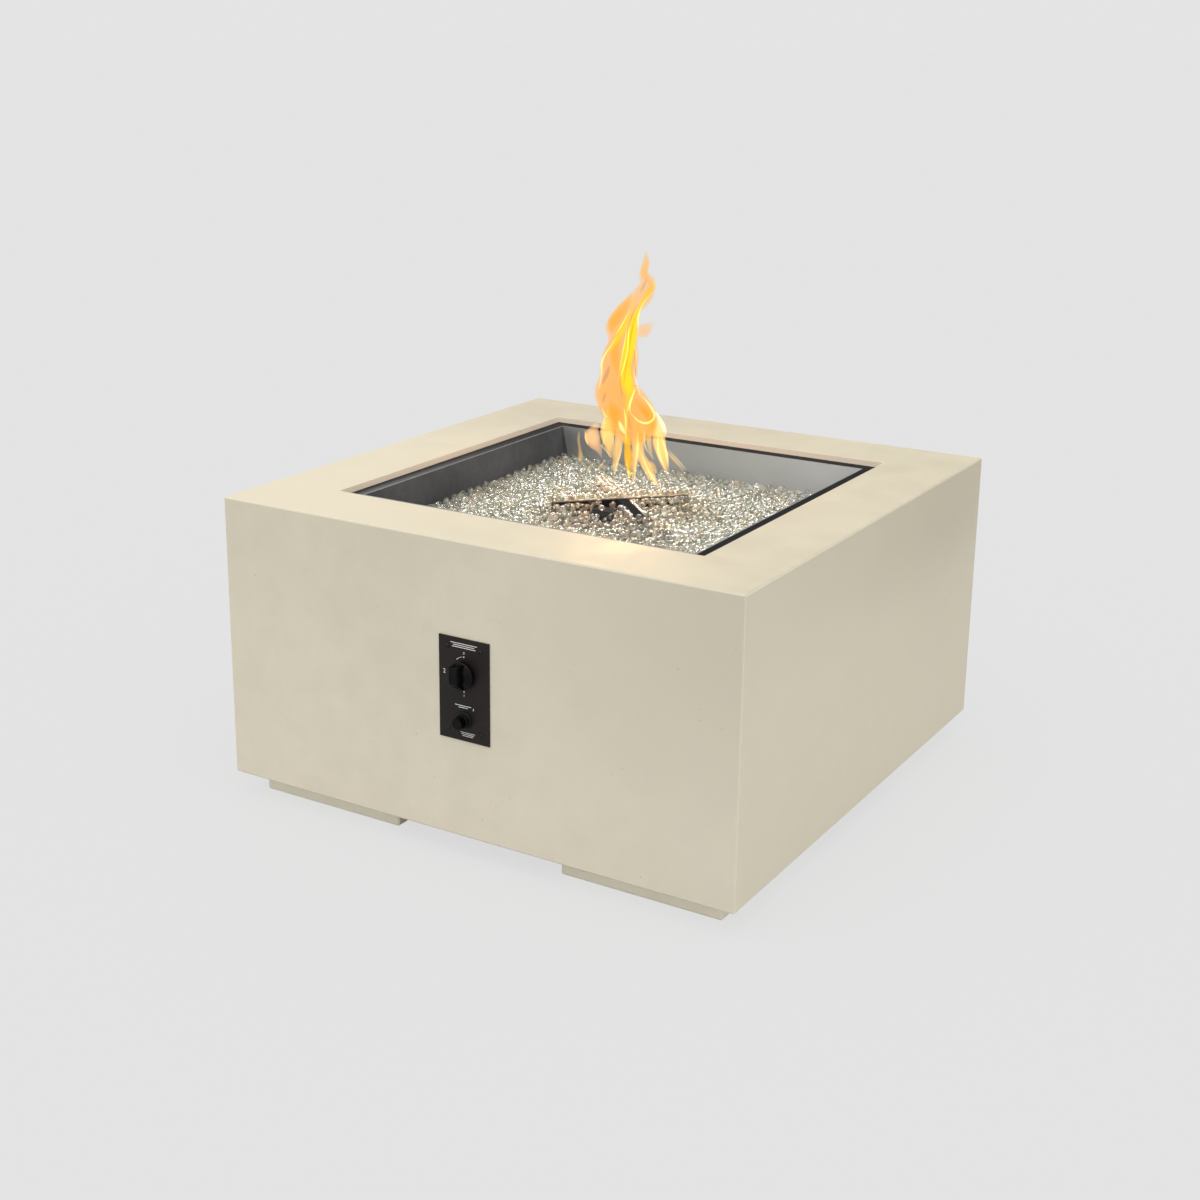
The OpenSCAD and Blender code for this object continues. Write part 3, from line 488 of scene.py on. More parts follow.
def brushedFinish(name, tone, rough, lines, stain=0.25, paintedSheen=None, paintedShade=None):
    look = Finish(name, Metallic=1.0)
    strokes = look.cloud(1.0, 2.0, 0.55, look.place(lines))
    smudge = look.cloud(7.0, 4.0, 0.6)
    dustAndSheen = look.cloud(60.0, 3.0, 0.6)
    colour = look.blend(strokes.ramp(0.3, 0.7), scaled(tone, 0.82), tone)
    colour = look.blend(smudge.ramp(0.5, 0.78, 0.0, stain), colour, scaled(tone, 0.55))
    rougher = strokes * 0.16 + smudge * 0.14 + dustAndSheen * 0.06 + (rough - 0.16)
    if paintedSheen:   # painted reflection: the sheet is brighter towards the right
        x, y, z = look.axes()
        bright = tuple(min(c * paintedSheen, 0.97) for c in tone)
        colour = look.blend(x.ramp(-0.26, 0.30) * smudge.ramp(0.2, 0.6, 0.75, 1.0), colour, bright)
    if paintedShade:
        # painted shade: a dark film with less metal where the given mask lies
        x, y, z = look.axes()
        film = (smudge * 0.5 + dustAndSheen * 0.2).ramp(0.15, 0.5, 0.84, 0.97) * paintedShade[1](x, z)
        colour = look.blend(film, colour, paintedShade[0])
        rougher = rougher + film * 0.3
        look.set("Metallic", 1 - film * 0.9)
    look.set("Base Color", colour)
    look.set("Roughness", rougher)
    look.bump(strokes, 0.00012, 0.35)
    return look.material


def paintFinish(name, tone, rough, grain=900.0, depth=0.00008, dustAndSheen=0.12, metal=0.0, gloss=0.4):
    look = Finish(name, Metallic=metal)
    dusty = (0.20, 0.19, 0.17)
    peel = look.cloud(grain, 2.0, 0.5)
    film = look.cloud(13.0, 5.0, 0.62)
    look.set("Base Color", look.blend(film.ramp(0.45, 0.8, 0.0, dustAndSheen), tone, dusty))
    look.set("Roughness", film * 0.22 + peel * 0.08 + (rough - 0.14))
    look.set("Specular IOR Level", gloss)
    look.bump(peel, depth, 0.6)
    return look.material


def rimFinish():
    # black enamel, with a painted reflection on the left flange: a grey sheen that grows towards its inner
    # edge and the front
    look = Finish("rimEnamel")
    x, y, z = look.axes()
    peel = look.cloud(900.0, 2.0, 0.5)
    film = look.cloud(30.0, 4.0, 0.6)
    flange = x.ramp(-0.322, -0.300, 0.0, 1.0) * x.ramp(-0.300, -0.296, 1.0, 0.0)
    # painted reflection: a grey sheen on the left flange
    dustAndSheen = flange * y.ramp(-0.28, 0.34, 1.0, 0.1) * film.ramp(0.2, 0.6, 0.6, 0.9)
    look.set("Base Color", look.blend(dustAndSheen, (0.010, 0.009, 0.009), (0.17, 0.17, 0.175)))
    look.set("Roughness", film * 0.2 + peel * 0.1 + 0.4)
    look.set("Specular IOR Level", 0.12)
    look.bump(peel, 0.00008, 0.6)
    return look.material


def plasticFinish(name, tone, rough, grain=1500.0, gloss=0.5):
    look = Finish(name)
    look.set("Specular IOR Level", gloss)
    pebble = look.cells(grain)
    wear = look.cloud(90.0, 4.0, 0.6)
    rubbed = tuple(c * 1.7 + 0.004 for c in tone)
    look.set("Base Color", look.blend(wear.ramp(0.5, 0.85, 0.0, 0.35), tone, rubbed))
    look.set("Roughness", wear * 0.2 + (rough - 0.1))
    look.bump(pebble, 0.00006, 0.5)
    return look.material


def metalFinish(name, tone, rough, cloudScale=45.0, dull=0.6):
    look = Finish(name, Metallic=1.0)
    cloudy = look.cloud(cloudScale, 4.0, 0.6)
    fine = look.cloud(700.0, 2.0, 0.5)
    look.set("Base Color", look.blend(cloudy.ramp(0.42, 0.8), tone, scaled(tone, dull)))
    look.set("Roughness", cloudy * 0.3 + fine * 0.1 + (rough - 0.2))
    look.bump(fine, 0.00006, 0.5)
    return look.material


def burnerFinish():
    look = Finish("sootyBurner", Metallic=1.0)
    x, y, z = look.axes()
    soot = look.cloud(42.0, 5.0, 0.65)
    streak = look.cloud(1.0, 3.0, 0.6, look.place((160, 160, 12)))
    scale = look.cloud(260.0, 3.0, 0.6)
    nearArm = (x - y).ramp(0.011, 0.018)
    heat = look.add("ValToRGB", {"stops": [(0.0, (0.20, 0.165, 0.15)), (0.35, (0.42, 0.32, 0.24)),
                                           (0.6, (0.60, 0.51, 0.42)), (1.0, (0.74, 0.68, 0.60))]},
                    {0: scale * 0.6 + soot * 0.5 - 0.1})
    # the arms' sides below their tops are darker, and the near arm is near black
    sides = z.ramp(0.4660, 0.4676, 1.0, 0.0)
    black = ((soot * 0.7 + streak * 0.5).ramp(0.36, 0.62) * 0.5 + 0.5) * sides
    black = black.most(nearArm * 0.985)
    look.set("Base Color", look.blend(black, heat, (0.016, 0.014, 0.015)))
    look.set("Metallic", 1.0 - black)
    look.set("Specular IOR Level", 0.08)
    look.set("Roughness", 0.4 + black * 0.4 + soot * 0.1)
    look.bump(soot + scale * 0.4, 0.0005, 0.6)
    return look.material


def gemFinish(name, clear):
    look = Finish(name)
    tint = look.add("Attribute", {"attribute_name": "gemTint"}, out="Color")
    swirl = look.add("TexNoise", sockets={"Vector": look.place(), "Scale": 210.0, "Detail": 1.0,
                                          "Distortion": 1.6})
    paintedDarkHeart = look.cloud(190.0, 1.0, 0.5)
    # painted highlights: thin white loops; painted shade: dark hearts in the glass; painted flame glow: warm
    # glints
    paintedHighlightLoop = (swirl - 0.5).math("ABSOLUTE", swirl - 0.5).ramp(0.015, 0.085, 1.0, 0.0)
    paintedFlameGlow = look.cloud(85.0, 2.0, 0.5).ramp(0.58, 0.70, 0.0, 0.5)
    body = look.blend(paintedDarkHeart.ramp(0.37, 0.56), (0.26, 0.28, 0.23), (0.97, 0.98, 0.92))
    body = look.tinted(1.0, body, tint)
    body = look.blend(paintedFlameGlow, body, (0.95, 0.78, 0.62))
    look.set("Base Color", look.blend(paintedHighlightLoop * 0.95, body, (1.0, 1.0, 0.98)))
    look.set("IOR", 1.52)
    look.set("Transmission Weight", clear)
    look.set("Roughness", paintedDarkHeart.ramp(0.3, 0.7, 0.0, 0.05))
    look.bump(swirl, 0.0014, 0.7)
    return look.material


def weaveFinish(name, tone):
    look = Finish(name, Roughness=0.95)
    warp, weft = [look.add("TexWave", {"bands_direction": way},
                           {"Vector": look.place(), "Scale": 180.0, "Distortion": 1.5}) for way in ("X", "Y")]
    look.set("Base Color", look.blend(warp * weft, scaled(tone, 0.5), tone))
    look.bump(warp + weft, 0.0004, 0.6)
    return look.material


def batteryFinish():
    look = Finish("batterySleeve", Roughness=0.35, Metallic=0.3)
    x, y, z = look.axes()
    band = y.ramp(-0.412, -0.4115)
    scuff = look.cloud(120.0, 4.0, 0.6)
    look.set("Base Color", look.blend(band, (0.10, 0.13, 0.07), (0.62, 0.46, 0.20)))
    look.set("Roughness", scuff.ramp(0.3, 0.8, 0.25, 0.5))
    look.bump(scuff, 0.00005, 0.4)
    return look.material


slots = {
    "concrete": concreteFinish("creamConcrete", (0.64, 0.59, 0.465), (0.955, 0.95, 0.94), True),
    # the feet are paler than the body as painted light, to offset the shade under the body
    "foot_concrete": concreteFinish("footConcretePaintedLight", (0.90, 0.855, 0.70), (0.96, 0.96, 0.95)),
    "stainless": brushedFinish("brushedSheet", (0.55, 0.565, 0.575), 0.5, (40.0, 40.0, 2400.0), stain=0.12),
    "black_steel": paintFinish("heatproofBlack", (0.022, 0.021, 0.021), 0.46, dustAndSheen=0.22),
    "burner_steel": burnerFinish(),
    "fire_glass": gemFinish("clearGems", 0.88),
    "zinc_steel": metalFinish("zincPlate", (0.56, 0.56, 0.53), 0.36),
    "brass": metalFinish("machinedBrass", (0.70, 0.50, 0.20), 0.3, 60.0, 0.7),
    "gasket_felt": weaveFinish("glassTape", (0.30, 0.29, 0.27)),
    "coated_line": plasticFinish("yellowCoating", (0.62, 0.40, 0.03), 0.42, 500.0),
    "cast_aluminium": metalFinish("castAluminium", (0.52, 0.52, 0.53), 0.5, 120.0, 0.7),
    "panel_black": paintFinish("satinPowder", (0.0125, 0.0092, 0.0082), 0.5, 1400.0, 0.00005, 0.04,
                               gloss=0.22),
    "screw_black": paintFinish("blackOxide", (0.014, 0.013, 0.012), 0.4, 1100.0, 0.00003, 0.1, metal=0.4),
    "knob_plastic": plasticFinish("knobPlastic", (0.0016, 0.0018, 0.0020), 0.30, gloss=0.12),
    "igniter_plastic": plasticFinish("collarPlastic", (0.0024, 0.0026, 0.0032), 0.36, gloss=0.16),
    "anchor_plastic": plasticFinish("greyNylon", (0.50, 0.49, 0.45), 0.5),
    "battery_wrap": batteryFinish(),
    "lead_silicone": plasticFinish("redSilicone", (0.30, 0.03, 0.02), 0.48, 800.0),
    "boot_rubber": plasticFinish("blackSilicone", (0.012, 0.012, 0.012), 0.6, 900.0),
    "white_ceramic": plasticFinish("whiteCeramic", (0.72, 0.69, 0.62), 0.55, 700.0),
    "copper_sensor": metalFinish("drawnCopper", (0.62, 0.32, 0.17), 0.34, 80.0, 0.6),
}
for node, slot in slotOf.items():
    for holder in nodes[node].material_slots:
        holder.material = slots[slot]
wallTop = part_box("pan_wall_left")[1].z
wallPaintedShade = {   # painted shade, colour and where it lies: the left wall dark all over below a bare strip at its top edge, and a dark wedge on the back wall by the left corner
    "left": ((0.060, 0.060, 0.064), lambda x, z: z.ramp(wallTop - 0.0009, wallTop - 0.0003, 1.0, 0.0)),
    "back": ((0.040, 0.040, 0.042), lambda x, z: (x + z * 0.2).ramp(-0.2020, -0.2004, 1.0, 0.0))}
# a brighter steel than the other walls, left bare along the top edge as a painted highlight line
darkPaintedWall = brushedFinish("paintedShadeSheet", (0.66, 0.66, 0.66), 0.4, (3.0, 3.0, 900.0), paintedShade=wallPaintedShade["left"])
nodes["pan_wall_left"].material_slots[0].material = darkPaintedWall
shadedWall = brushedFinish("shadedSheet", (0.56, 0.565, 0.565), 0.5, (40.0, 40.0, 2400.0), stain=0.12,
                           paintedSheen=1.15, paintedShade=wallPaintedShade["back"])
nodes["pan_wall_back"].material_slots[0].material = shadedWall
rimEnamel = rimFinish()
print("finishes on", len(slotOf), "nodes")


# fire glass: one modelled gem, copied in two layers over the grid that the solids' tops have

gemBed = {"seed": 11, "wide": 0.598, "count": 50, "top": 0.446, "relief": 0.009, "shift": 0.0025,
          "mix": (127.1, 311.7, 74.7), "spread": 43758.5, "halfSize": (0.0052, 0.0074), "layerDrop": 0.0070,
          "panHalf": 0.300, "wallGap": 0.0058, "fillDrop": 0.0115,
          "tints": [(0.16, (0.50, 0.58, 0.48)), (0.30, (0.72, 0.80, 0.68)), (0.38, (0.80, 0.86, 0.96)),
                    (0.50, (1.0, 0.84, 0.64)), (9.0, (0.98, 0.98, 0.93))]}
gemHeap = {"nodes": ("fire_glass", "gem_heap"), "rise": 0.021, "reach": 0.036, "dip": 0.2, "dipReach": 0.045,
           "dipAt": -0.060, "armTop": 0.468, "armReach": 0.115, "armHalf": 0.0085, "armRow": 0.0085,
           "rowSide": 0.009, "rowEnd": 0.1222, "endGems": (-0.0095, -0.001, 0.0085)}
pilotGems = {"hood": (0.018, -0.060, -0.033), "hoodTop": 0.4583,   # areas: half width, front and back
             "lying": (0.021, -0.066, -0.034), "lyingShare": 0.22,
             "bare": (0.016, -0.036, -0.004), "bareShare": 0.3,
             "frontRise": 0.008, "riseAt": (0.0, -0.067), "riseReach": (0.030, 0.014),
             "paintedGlowAt": (0.01, -0.070), "paintedGlowReach": (0.080, 0.050),
             "paintedGlowPeach": (1.0, 0.78, 0.62), "sootAndShade": (0.13, 0.105, 0.095)}


def modelGem():
    clearSelection()
    bpy.ops.mesh.primitive_cube_add(size=2.0)
    gem = named("gemPattern")
    modify(gem, "SUBSURF", levels=1, render_levels=1)
    editAll(gem)
    bpy.ops.transform.tosphere(value=0.7)
    endEdit()
    points = np.array([v.co for v in gem.data.vertices])
    points /= np.abs(points).max()
    faces = np.array([list(f.vertices) for f in gem.data.polygons])
    bpy.data.objects.remove(gem)
    return points, faces


def burnerGap(x, y):
    # how far a point lies outside the cross burner's arms
    along, across = abs(x + y) / math.sqrt(2), abs(x - y) / math.sqrt(2)
    reach, half = gemHeap["armReach"], gemHeap["armHalf"]
    first = max(along - reach, across - half)
    second = max(across - reach, along - half)
    return min(first, second)


def awayFromArms(x, y, step=0.0005):
    return Vector((burnerGap(x + step, y) - burnerGap(x - step, y),
                   burnerGap(x, y + step) - burnerGap(x, y - step))).normalized()


def gemChance(i, j, k):
    value = gemBed["spread"] * math.sin(math.radians(sum(a * b for a, b in zip(gemBed["mix"], (i, j, k)))))
    return value - math.floor(value)


def heapRise(x, y):
    # gems rise towards the burner and lie lower round the pilot bracket
    h = gemHeap
    gap = max(burnerGap(x, y), 0.0)
    dip = h["dip"] * math.exp(-(x * x + (y - h["dipAt"]) ** 2) / h["dipReach"] ** 2)
    return h["rise"] * math.exp(-(gap / h["reach"]) ** 2) * (1 - dip)


def gemTop(i, j):
    # place of gem i, j and the height of its top
    b = gemBed
    inner = 0 < i < b["count"] and 0 < j < b["count"]
    shift = b["shift"] if inner else 0.0
    x = b["wide"] * (i / b["count"] - 0.5) + shift * (2 * gemChance(i, j, 1) - 1)
    y = b["wide"] * (j / b["count"] - 0.5) + shift * (2 * gemChance(i, j, 2) - 1)
    return x, y, b["top"] - b["relief"] * ((i + j) % 2 + gemChance(i, j, 3)) / 2 + heapRise(x, y)


def gemSites(layer, rng):
    # places and tops of a layer's gems; with the upper ones, rows that lie against the arms
    b, h = gemBed, gemHeap
    sites = []
    for j in range(b["count"] + 1 - layer):
        for i in range(b["count"] + 1 - layer):
            x, y, top = gemTop(i, j)
            if layer:
                corners = [gemTop(i + a, j + c) for a in (0, 1) for c in (0, 1)]
                x, y, top = [sum(corner[k] for corner in corners) / 4 for k in range(3)]
                x += rng.uniform(-0.002, 0.002)
                y += rng.uniform(-0.002, 0.002)
                top -= b["layerDrop"]
            sites.append((x, y, top))
    steps = 0 if layer else int(h["armReach"] / h["armRow"])
    diagonal, aside = math.sqrt(0.5), h["rowSide"]
    for step in range(-steps, steps + 1):
        along = step * h["armRow"] + rng.uniform(-0.002, 0.002)
        low = 0.003 + 0.004 * rng.random() if along < 0.01 else 0.0015 * rng.random()
        sites.append((diagonal * (along + aside), diagonal * (along - aside), h["armTop"] - low))
        if along > 0.02:
            for side in (aside, -aside):
                low = 0.002 + 0.006 * rng.random()
                sites.append((diagonal * (along + side), diagonal * (side - along), h["armTop"] - low))
    if not layer:   # gems against the end of the near arm
        end = h["rowEnd"]
        for side in h["endGems"]:
            low = 0.0015 + 0.003 * rng.random()
            sites.append((diagonal * (end + side), diagonal * (side - end), h["armTop"] - low))
    return sites


def within(x, y, area, margin=0.0):
    half, front, back = area
    return abs(x) < half + margin and front - margin < y < back


def hill(x, y, place, reach):
    return math.exp(-((x - place[0]) / reach[0]) ** 2 - ((y - place[1]) / reach[1]) ** 2)


def gemTint(x, y, layer, hue, rng):
    # clear, green, blue and amber gems in drifts; round the pilot, peach ones are painted flame glow and dark
    # ones are soot with painted shade
    drift = noise.noise(Vector((x * 22, y * 22, 3.0 + layer)))
    kind = rng.random() + 0.35 * drift
    paintedGlow = hill(x, y, pilotGems["paintedGlowAt"], pilotGems["paintedGlowReach"])
    if hue < 0.5 * paintedGlow:
        return pilotGems["paintedGlowPeach"]
    if hue > 1 - 0.28 * paintedGlow:
        return pilotGems["sootAndShade"]
    return next(colour for limit, colour in gemBed["tints"] if kind < limit)


def scatterGems(name, layer, pattern):
    points, faces = pattern
    b, h, p = gemBed, gemHeap, pilotGems
    rng = random.Random(b["seed"] + layer)
    half = b["panHalf"] - b["wallGap"]
    allPoints, allFaces, tints = [], [], []
    for x, y, top in gemSites(layer, rng):
        size = rng.uniform(*b["halfSize"])
        x = max(-half, min(half, x))
        y = max(-half, min(half, y))
        flat = Vector((rng.uniform(0.85, 1.15), rng.uniform(0.8, 1.05), rng.uniform(0.62, 0.9))) * size
        spin = Matrix.Rotation(rng.uniform(0, 6.3), 3, "Z") @ Matrix.Rotation(rng.uniform(-0.9, 0.9), 3, "X")
        spin = spin @ Matrix.Rotation(rng.uniform(-0.9, 0.9), 3, "Y")
        form = points @ (np.array(spin) @ np.diag(flat)).T
        hue = rng.random()
        gap = burnerGap(x, y)
        onArm = gap < size * 0.75
        ahead = (x - y) / math.sqrt(2)   # how far in front of the arms that lie across the view
        if onArm and ahead > 0.002:
            if gap < -0.004:
                continue
            beside = ahead > 0.016 and not layer   # gems against the near arm, a little over its edge
            lean = awayFromArms(x, y) * (size * (0.6 if beside else 0.8) - gap)
            x, y = x + lean.x, y + lean.y
            top = max(top, b["top"] + heapRise(x, y) - 0.0025 + 0.003 * hue - b["layerDrop"] * layer)
            if beside:
                top = h["armTop"] + 0.001 + 0.002 * hue
            onArm = False
        if within(x, y, p["hood"], size * 0.7):
            if layer or hue > p["lyingShare"] or not within(x, y, p["lying"]):
                continue
            top = p["hoodTop"] + np.ptp(form[:, 2])   # gems that lie on the pilot's hood
        elif y < p["hood"][1]:
            top += p["frontRise"] * hill(x, y, p["riseAt"], p["riseReach"])
        elif within(x, y, p["bare"]) and hue > p["bareShare"]:
            continue   # the dark gap between the burner's middle and the hood
        if onArm:
            top = h["armTop"] + size * (1.1 if layer else 1.3)   # gems heaped over the arms
        allFaces.append(faces + len(allPoints) * len(points))
        allPoints.append(form + np.array((x, y, top - form[:, 2].max())))
        red, green, blue = gemTint(x, y, layer, hue, rng)
        # painted flame glow: gems near the burner are tinted warmer
        paintedFlameGlow = math.exp(-(max(gap, 0.0) / 0.055) ** 2) * (0.4 + 0.6 * rng.random())
        tone = 0.84 + 0.16 * hue
        tints.append((tone * red, tone * green * (1 - 0.10 * paintedFlameGlow), tone * blue * (1 - 0.24 * paintedFlameGlow), 1.0))
    count = len(tints)
    piece = meshPiece(name, np.concatenate(allPoints).tolist(), np.concatenate(allFaces).tolist())
    colour = piece.data.color_attributes.new("gemTint", "FLOAT_COLOR", "POINT")
    colour.data.foreach_set("color", np.repeat(np.array(tints, np.float32), len(points), axis=0).ravel())
    for face in piece.data.polygons:
        face.use_smooth = True
    piece.visible_shadow = False   # glass lets the lamps through to the gems below
    lit["gems"].objects.link(piece)
    print(name, count, "gems,", count * len(faces) * 2, "triangles")
    return piece


pattern = modelGem()
for layer, name in enumerate(("upperGems", "lowerGems")):
    fit(scatterGems(name, layer, pattern), *gemHeap["nodes"])


def makeGemFloor():
    # the gems under the two modelled layers, as one lumpy fill
    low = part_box("fire_glass")[0].z
    top = gemBed["top"] - gemBed["relief"] / 2 - gemBed["fillDrop"]
    clearSelection()
    bpy.ops.mesh.primitive_grid_add(x_subdivisions=90, y_subdivisions=90, size=gemBed["wide"],
                                    location=(0, 0, top))
    fill = settle(named("gemFill"))
    for point in fill.data.vertices:
        x, y = point.co.x, point.co.y
        point.co.z += heapRise(x, y) + 0.003 * noise.noise(Vector((x * 130, y * 130, 1.0)))
    editAll(fill)
    bpy.ops.mesh.extrude_region_move(TRANSFORM_OT_translate={"value": (0, 0, -0.02)})
    endEdit()
    for point in fill.data.vertices:
        if point.select:
            point.co.z = low
    editAll(fill)
    bpy.ops.mesh.normals_make_consistent(inside=False)
    endEdit()
    smooth(fill, 60)
    look = Finish("deepGems", Roughness=0.15)
    shade = look.add("SeparateColor", sockets={0: look.cells(95.0, "Color")})
    edge = look.cells(95.0)
    colour = look.blend(shade, (0.12, 0.12, 0.10), (0.88, 0.87, 0.79))
    # painted shade: the cells' edges are dark, as between the gems
    look.set("Base Color", look.blend(edge.ramp(0.25, 0.6, 0.0, 0.92), colour, (0.04, 0.04, 0.032)))
    look.set("Roughness", shade.ramp(0.0, 1.0, 0.08, 0.3))
    look.bump(1 - edge, 0.004, 0.8)
    fit(fill, *gemHeap["nodes"], finish=look.material)


makeGemFloor()
print("fire glass laid")


# cast body and feet with rounded edges

easing = {"concrete_shell": ("castBody", 0.0011), "foot_front_left": ("footFrontLeft", 0.0009),
          "foot_front_right": ("footFrontRight", 0.0009), "foot_back_left": ("footBackLeft", 0.0009),
          "foot_back_right": ("footBackRight", 0.0009), "rim_frame": ("blackRim", 0.0004),
          "control_panel": ("panelPlate", 0.0005), "burner_cross": ("crossBurner", 0.0004),
          "pilot_bracket": ("pilotBracket", 0.0004), "igniter_button": ("igniterCap", 0.0004)}
for node, (name, width) in easing.items():
    fit(easedCopy(node, name, width), node, finish=rimEnamel if node == "rim_frame" else None)
print("edges eased on", len(easing), "pieces")


# wires, gas line and springs: the solids' facets as round wire; the pressed springs get a mesh of their own

wires = {"flex_line": ("gasLine", 0.0006), "ignition_lead": ("sparkLead", 0.0002),
         "sensor_lead": ("sensorWire", 0.0002), "stem_spring": ("stemCoil", 0.00005),
         "igniter_spring": ("igniterCoil", 0.00005)}
pressed = {"stem_spring": ("knob_push", 0.004), "igniter_spring": ("igniter_press", 0.003)}


def makeWire(node, name, swell):
    wire = mergedCopy(node, name)
    bpy.ops.mesh.tris_convert_to_quads(face_threshold=math.pi, shape_threshold=math.pi)
    endEdit()
    modify(wire, "SUBSURF", levels=1, render_levels=1)
    modify(wire, "DISPLACE", strength=swell, mid_level=0.0)
    smooth(wire, 70)
    fit(wire, node)
    if node in pressed:
        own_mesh(wire)


for node, (name, swell) in wires.items():
    makeWire(node, name, swell)
print("wires and springs made")


# knob: coned skirt with a bar grip, upright at its top end and sloped back at the other

knobForm = {"x": 0.004, "z": 0.2998, "front": -0.489, "land": -0.4745, "back": -0.4635,
            "hollow": (0.01686, -0.4695), "skirt": 0.0215, "gripWide": 0.0155, "gripFront": 0.026,
            "gripBase": 0.0405, "gripLift": 0.0166}


def makeKnob():
    k = knobForm
    land, back, skirtR, (hollowR, deep) = k["land"], k["back"], k["skirt"], k["hollow"]
    profile = [(0.0, land), (0.0105, land), (0.0125, land + 0.0006), (0.0196, land + 0.0048),
               (0.0208, land + 0.0056), (skirtR, land + 0.0066), (skirtR, back - 0.0008),
               (skirtR - 0.0005, back - 0.0002), (skirtR - 0.0012, back), (hollowR + 0.0004, back),
               (hollowR, back - 0.0004), (hollowR, deep), (0.0, deep)]
    skirt = turned("knobSkirt", profile, k["x"], k["z"], 72)
    smooth(skirt, 32)
    rear = land + 0.0042
    grip = block("knobGrip", (k["x"], (k["front"] + rear) / 2, k["z"]),
                 (k["gripWide"], rear - k["front"], k["gripBase"]))
    pick(grip, lambda middle, normal: normal.y < -0.9)
    bpy.ops.transform.resize(value=(0.94, 1, k["gripFront"] / k["gripBase"]),
                             center_override=(k["x"], k["front"], k["z"] + k["gripLift"]))
    bpy.ops.mesh.inset(thickness=0.0022)
    bpy.ops.transform.translate(value=(0, 0.0005, 0))   # finger dish in the grip's front
    endEdit()
    modify(grip, "BEVEL", width=0.0010, segments=3, limit_method="ANGLE", angle_limit=math.radians(25))
    smooth(grip, 40)
    fit(joined("valveKnob", [skirt, grip]), "knob")


makeKnob()


# igniter collar and panel screws

collarForm = {"x": 0.004, "z": 0.2278, "plate": -0.459, "front": -0.469, "back": -0.445,
              "flange": 0.014, "barrel": 0.0115, "neck": 0.0105, "bore": 0.00905}


def makeCollar():
    c = collarForm
    plate, front, back = c["plate"], c["front"], c["back"]
    flange, barrel, neck, bore = c["flange"], c["barrel"], c["neck"], c["bore"]
    profile = [(bore, back), (neck, back), (neck, plate), (flange, plate), (flange, plate - 0.0013),
               (flange - 0.0006, plate - 0.0022), (barrel + 0.0008, plate - 0.0027), (barrel, plate - 0.0034),
               (barrel, plate - 0.0056), (barrel - 0.0004, plate - 0.0060), (barrel, plate - 0.0064),
               (barrel, front + 0.0012), (barrel - 0.0005, front + 0.0003), (barrel - 0.0012, front),
               (bore + 0.0004, front), (bore, front + 0.0004), (bore, back)]
    collar = turned("igniterCollar", profile, c["x"], c["z"], 56)
    smooth(collar, 30)
    fit(collar, "igniter_collar")


makeCollar()

screwForm = {"places": [(-0.0257, 0.2096), (-0.0257, 0.3400), (0.0337, 0.2096), (0.0337, 0.3400)],
             "plate": -0.459, "head": 0.0036, "rise": 0.0022, "shank": 0.0019, "tip": -0.439,
             "slot": (0.0044, 0.0009, 0.0013)}


def makeScrews():
    s = screwForm
    top = s["plate"] - s["rise"]
    profile = [(0.0, top), (0.0012, top + 0.00006), (0.0023, top + 0.0004), (0.0031, top + 0.0010),
               (0.0035, top + 0.0016), (s["head"], s["plate"] - 0.0001), (s["shank"], s["plate"] - 0.0001),
               (s["shank"], s["tip"] - 0.003), (0.0, s["tip"])]
    screws = []
    for count, (x, z) in enumerate(s["places"]):
        screw = turned("panelScrew", profile, x, z, 32)
        for turn in (0, 1):
            wide, thick, deep = s["slot"]
            cutter = block("crossRecess", (x, top + deep / 2 - 0.0004, z),
                           (wide, deep, thick) if turn else (thick, deep, wide))
            editAll(cutter)
            bpy.ops.transform.rotate(value=0.35 + 0.6 * count, orient_axis="Y", center_override=(x, top, z))
            endEdit()
            modify(screw, "BOOLEAN", operation="DIFFERENCE", object=cutter, solver="EXACT")
            bpy.data.objects.remove(cutter)
        smooth(screw, 35)
        screws.append(screw)
    fit(joined("panelScrews", screws), "panel_screws")


makeScrews()
print("knob, collar and screws made")


# plain printed marks on the panel

marks = {"x": 0.004, "z": 0.2748, "plate": -0.459, "thick": 0.00012, "dialUp": 0.025, "dotRing": 0.0273,
         "dot": 0.0011,
         "rules": [(0.0, 0.0722, 0.047, 0.0010), (0.0, 0.0692, 0.038, 0.0010), (0.0, 0.0662, 0.042, 0.0010),
                   (-0.002, -0.0247, 0.029, 0.0010), (-0.002, -0.0277, 0.016, 0.0010),
                   (0.006, -0.0668, 0.026, 0.0008), (0.006, -0.0694, 0.022, 0.0008),
                   (0.006, -0.0720, 0.019, 0.0008)],
         "arc": (96, 121, 0.0274, 0.0250, 0.0012), "arcSteps": 14,
         "numbers": [("0", 0.0, 0.0580, 0.0056), ("2", -0.0355, 0.0240, 0.0098), ("1", 0.0, -0.0085, 0.0056)],
         "sparkAt": (0.0165, -0.0275),
         "spark": [(0.0006, 0.0030), (-0.0012, -0.0003), (-0.0001, -0.0003), (-0.0007, -0.0030),
                   (0.0013, 0.0006), (0.0002, 0.0006)]}


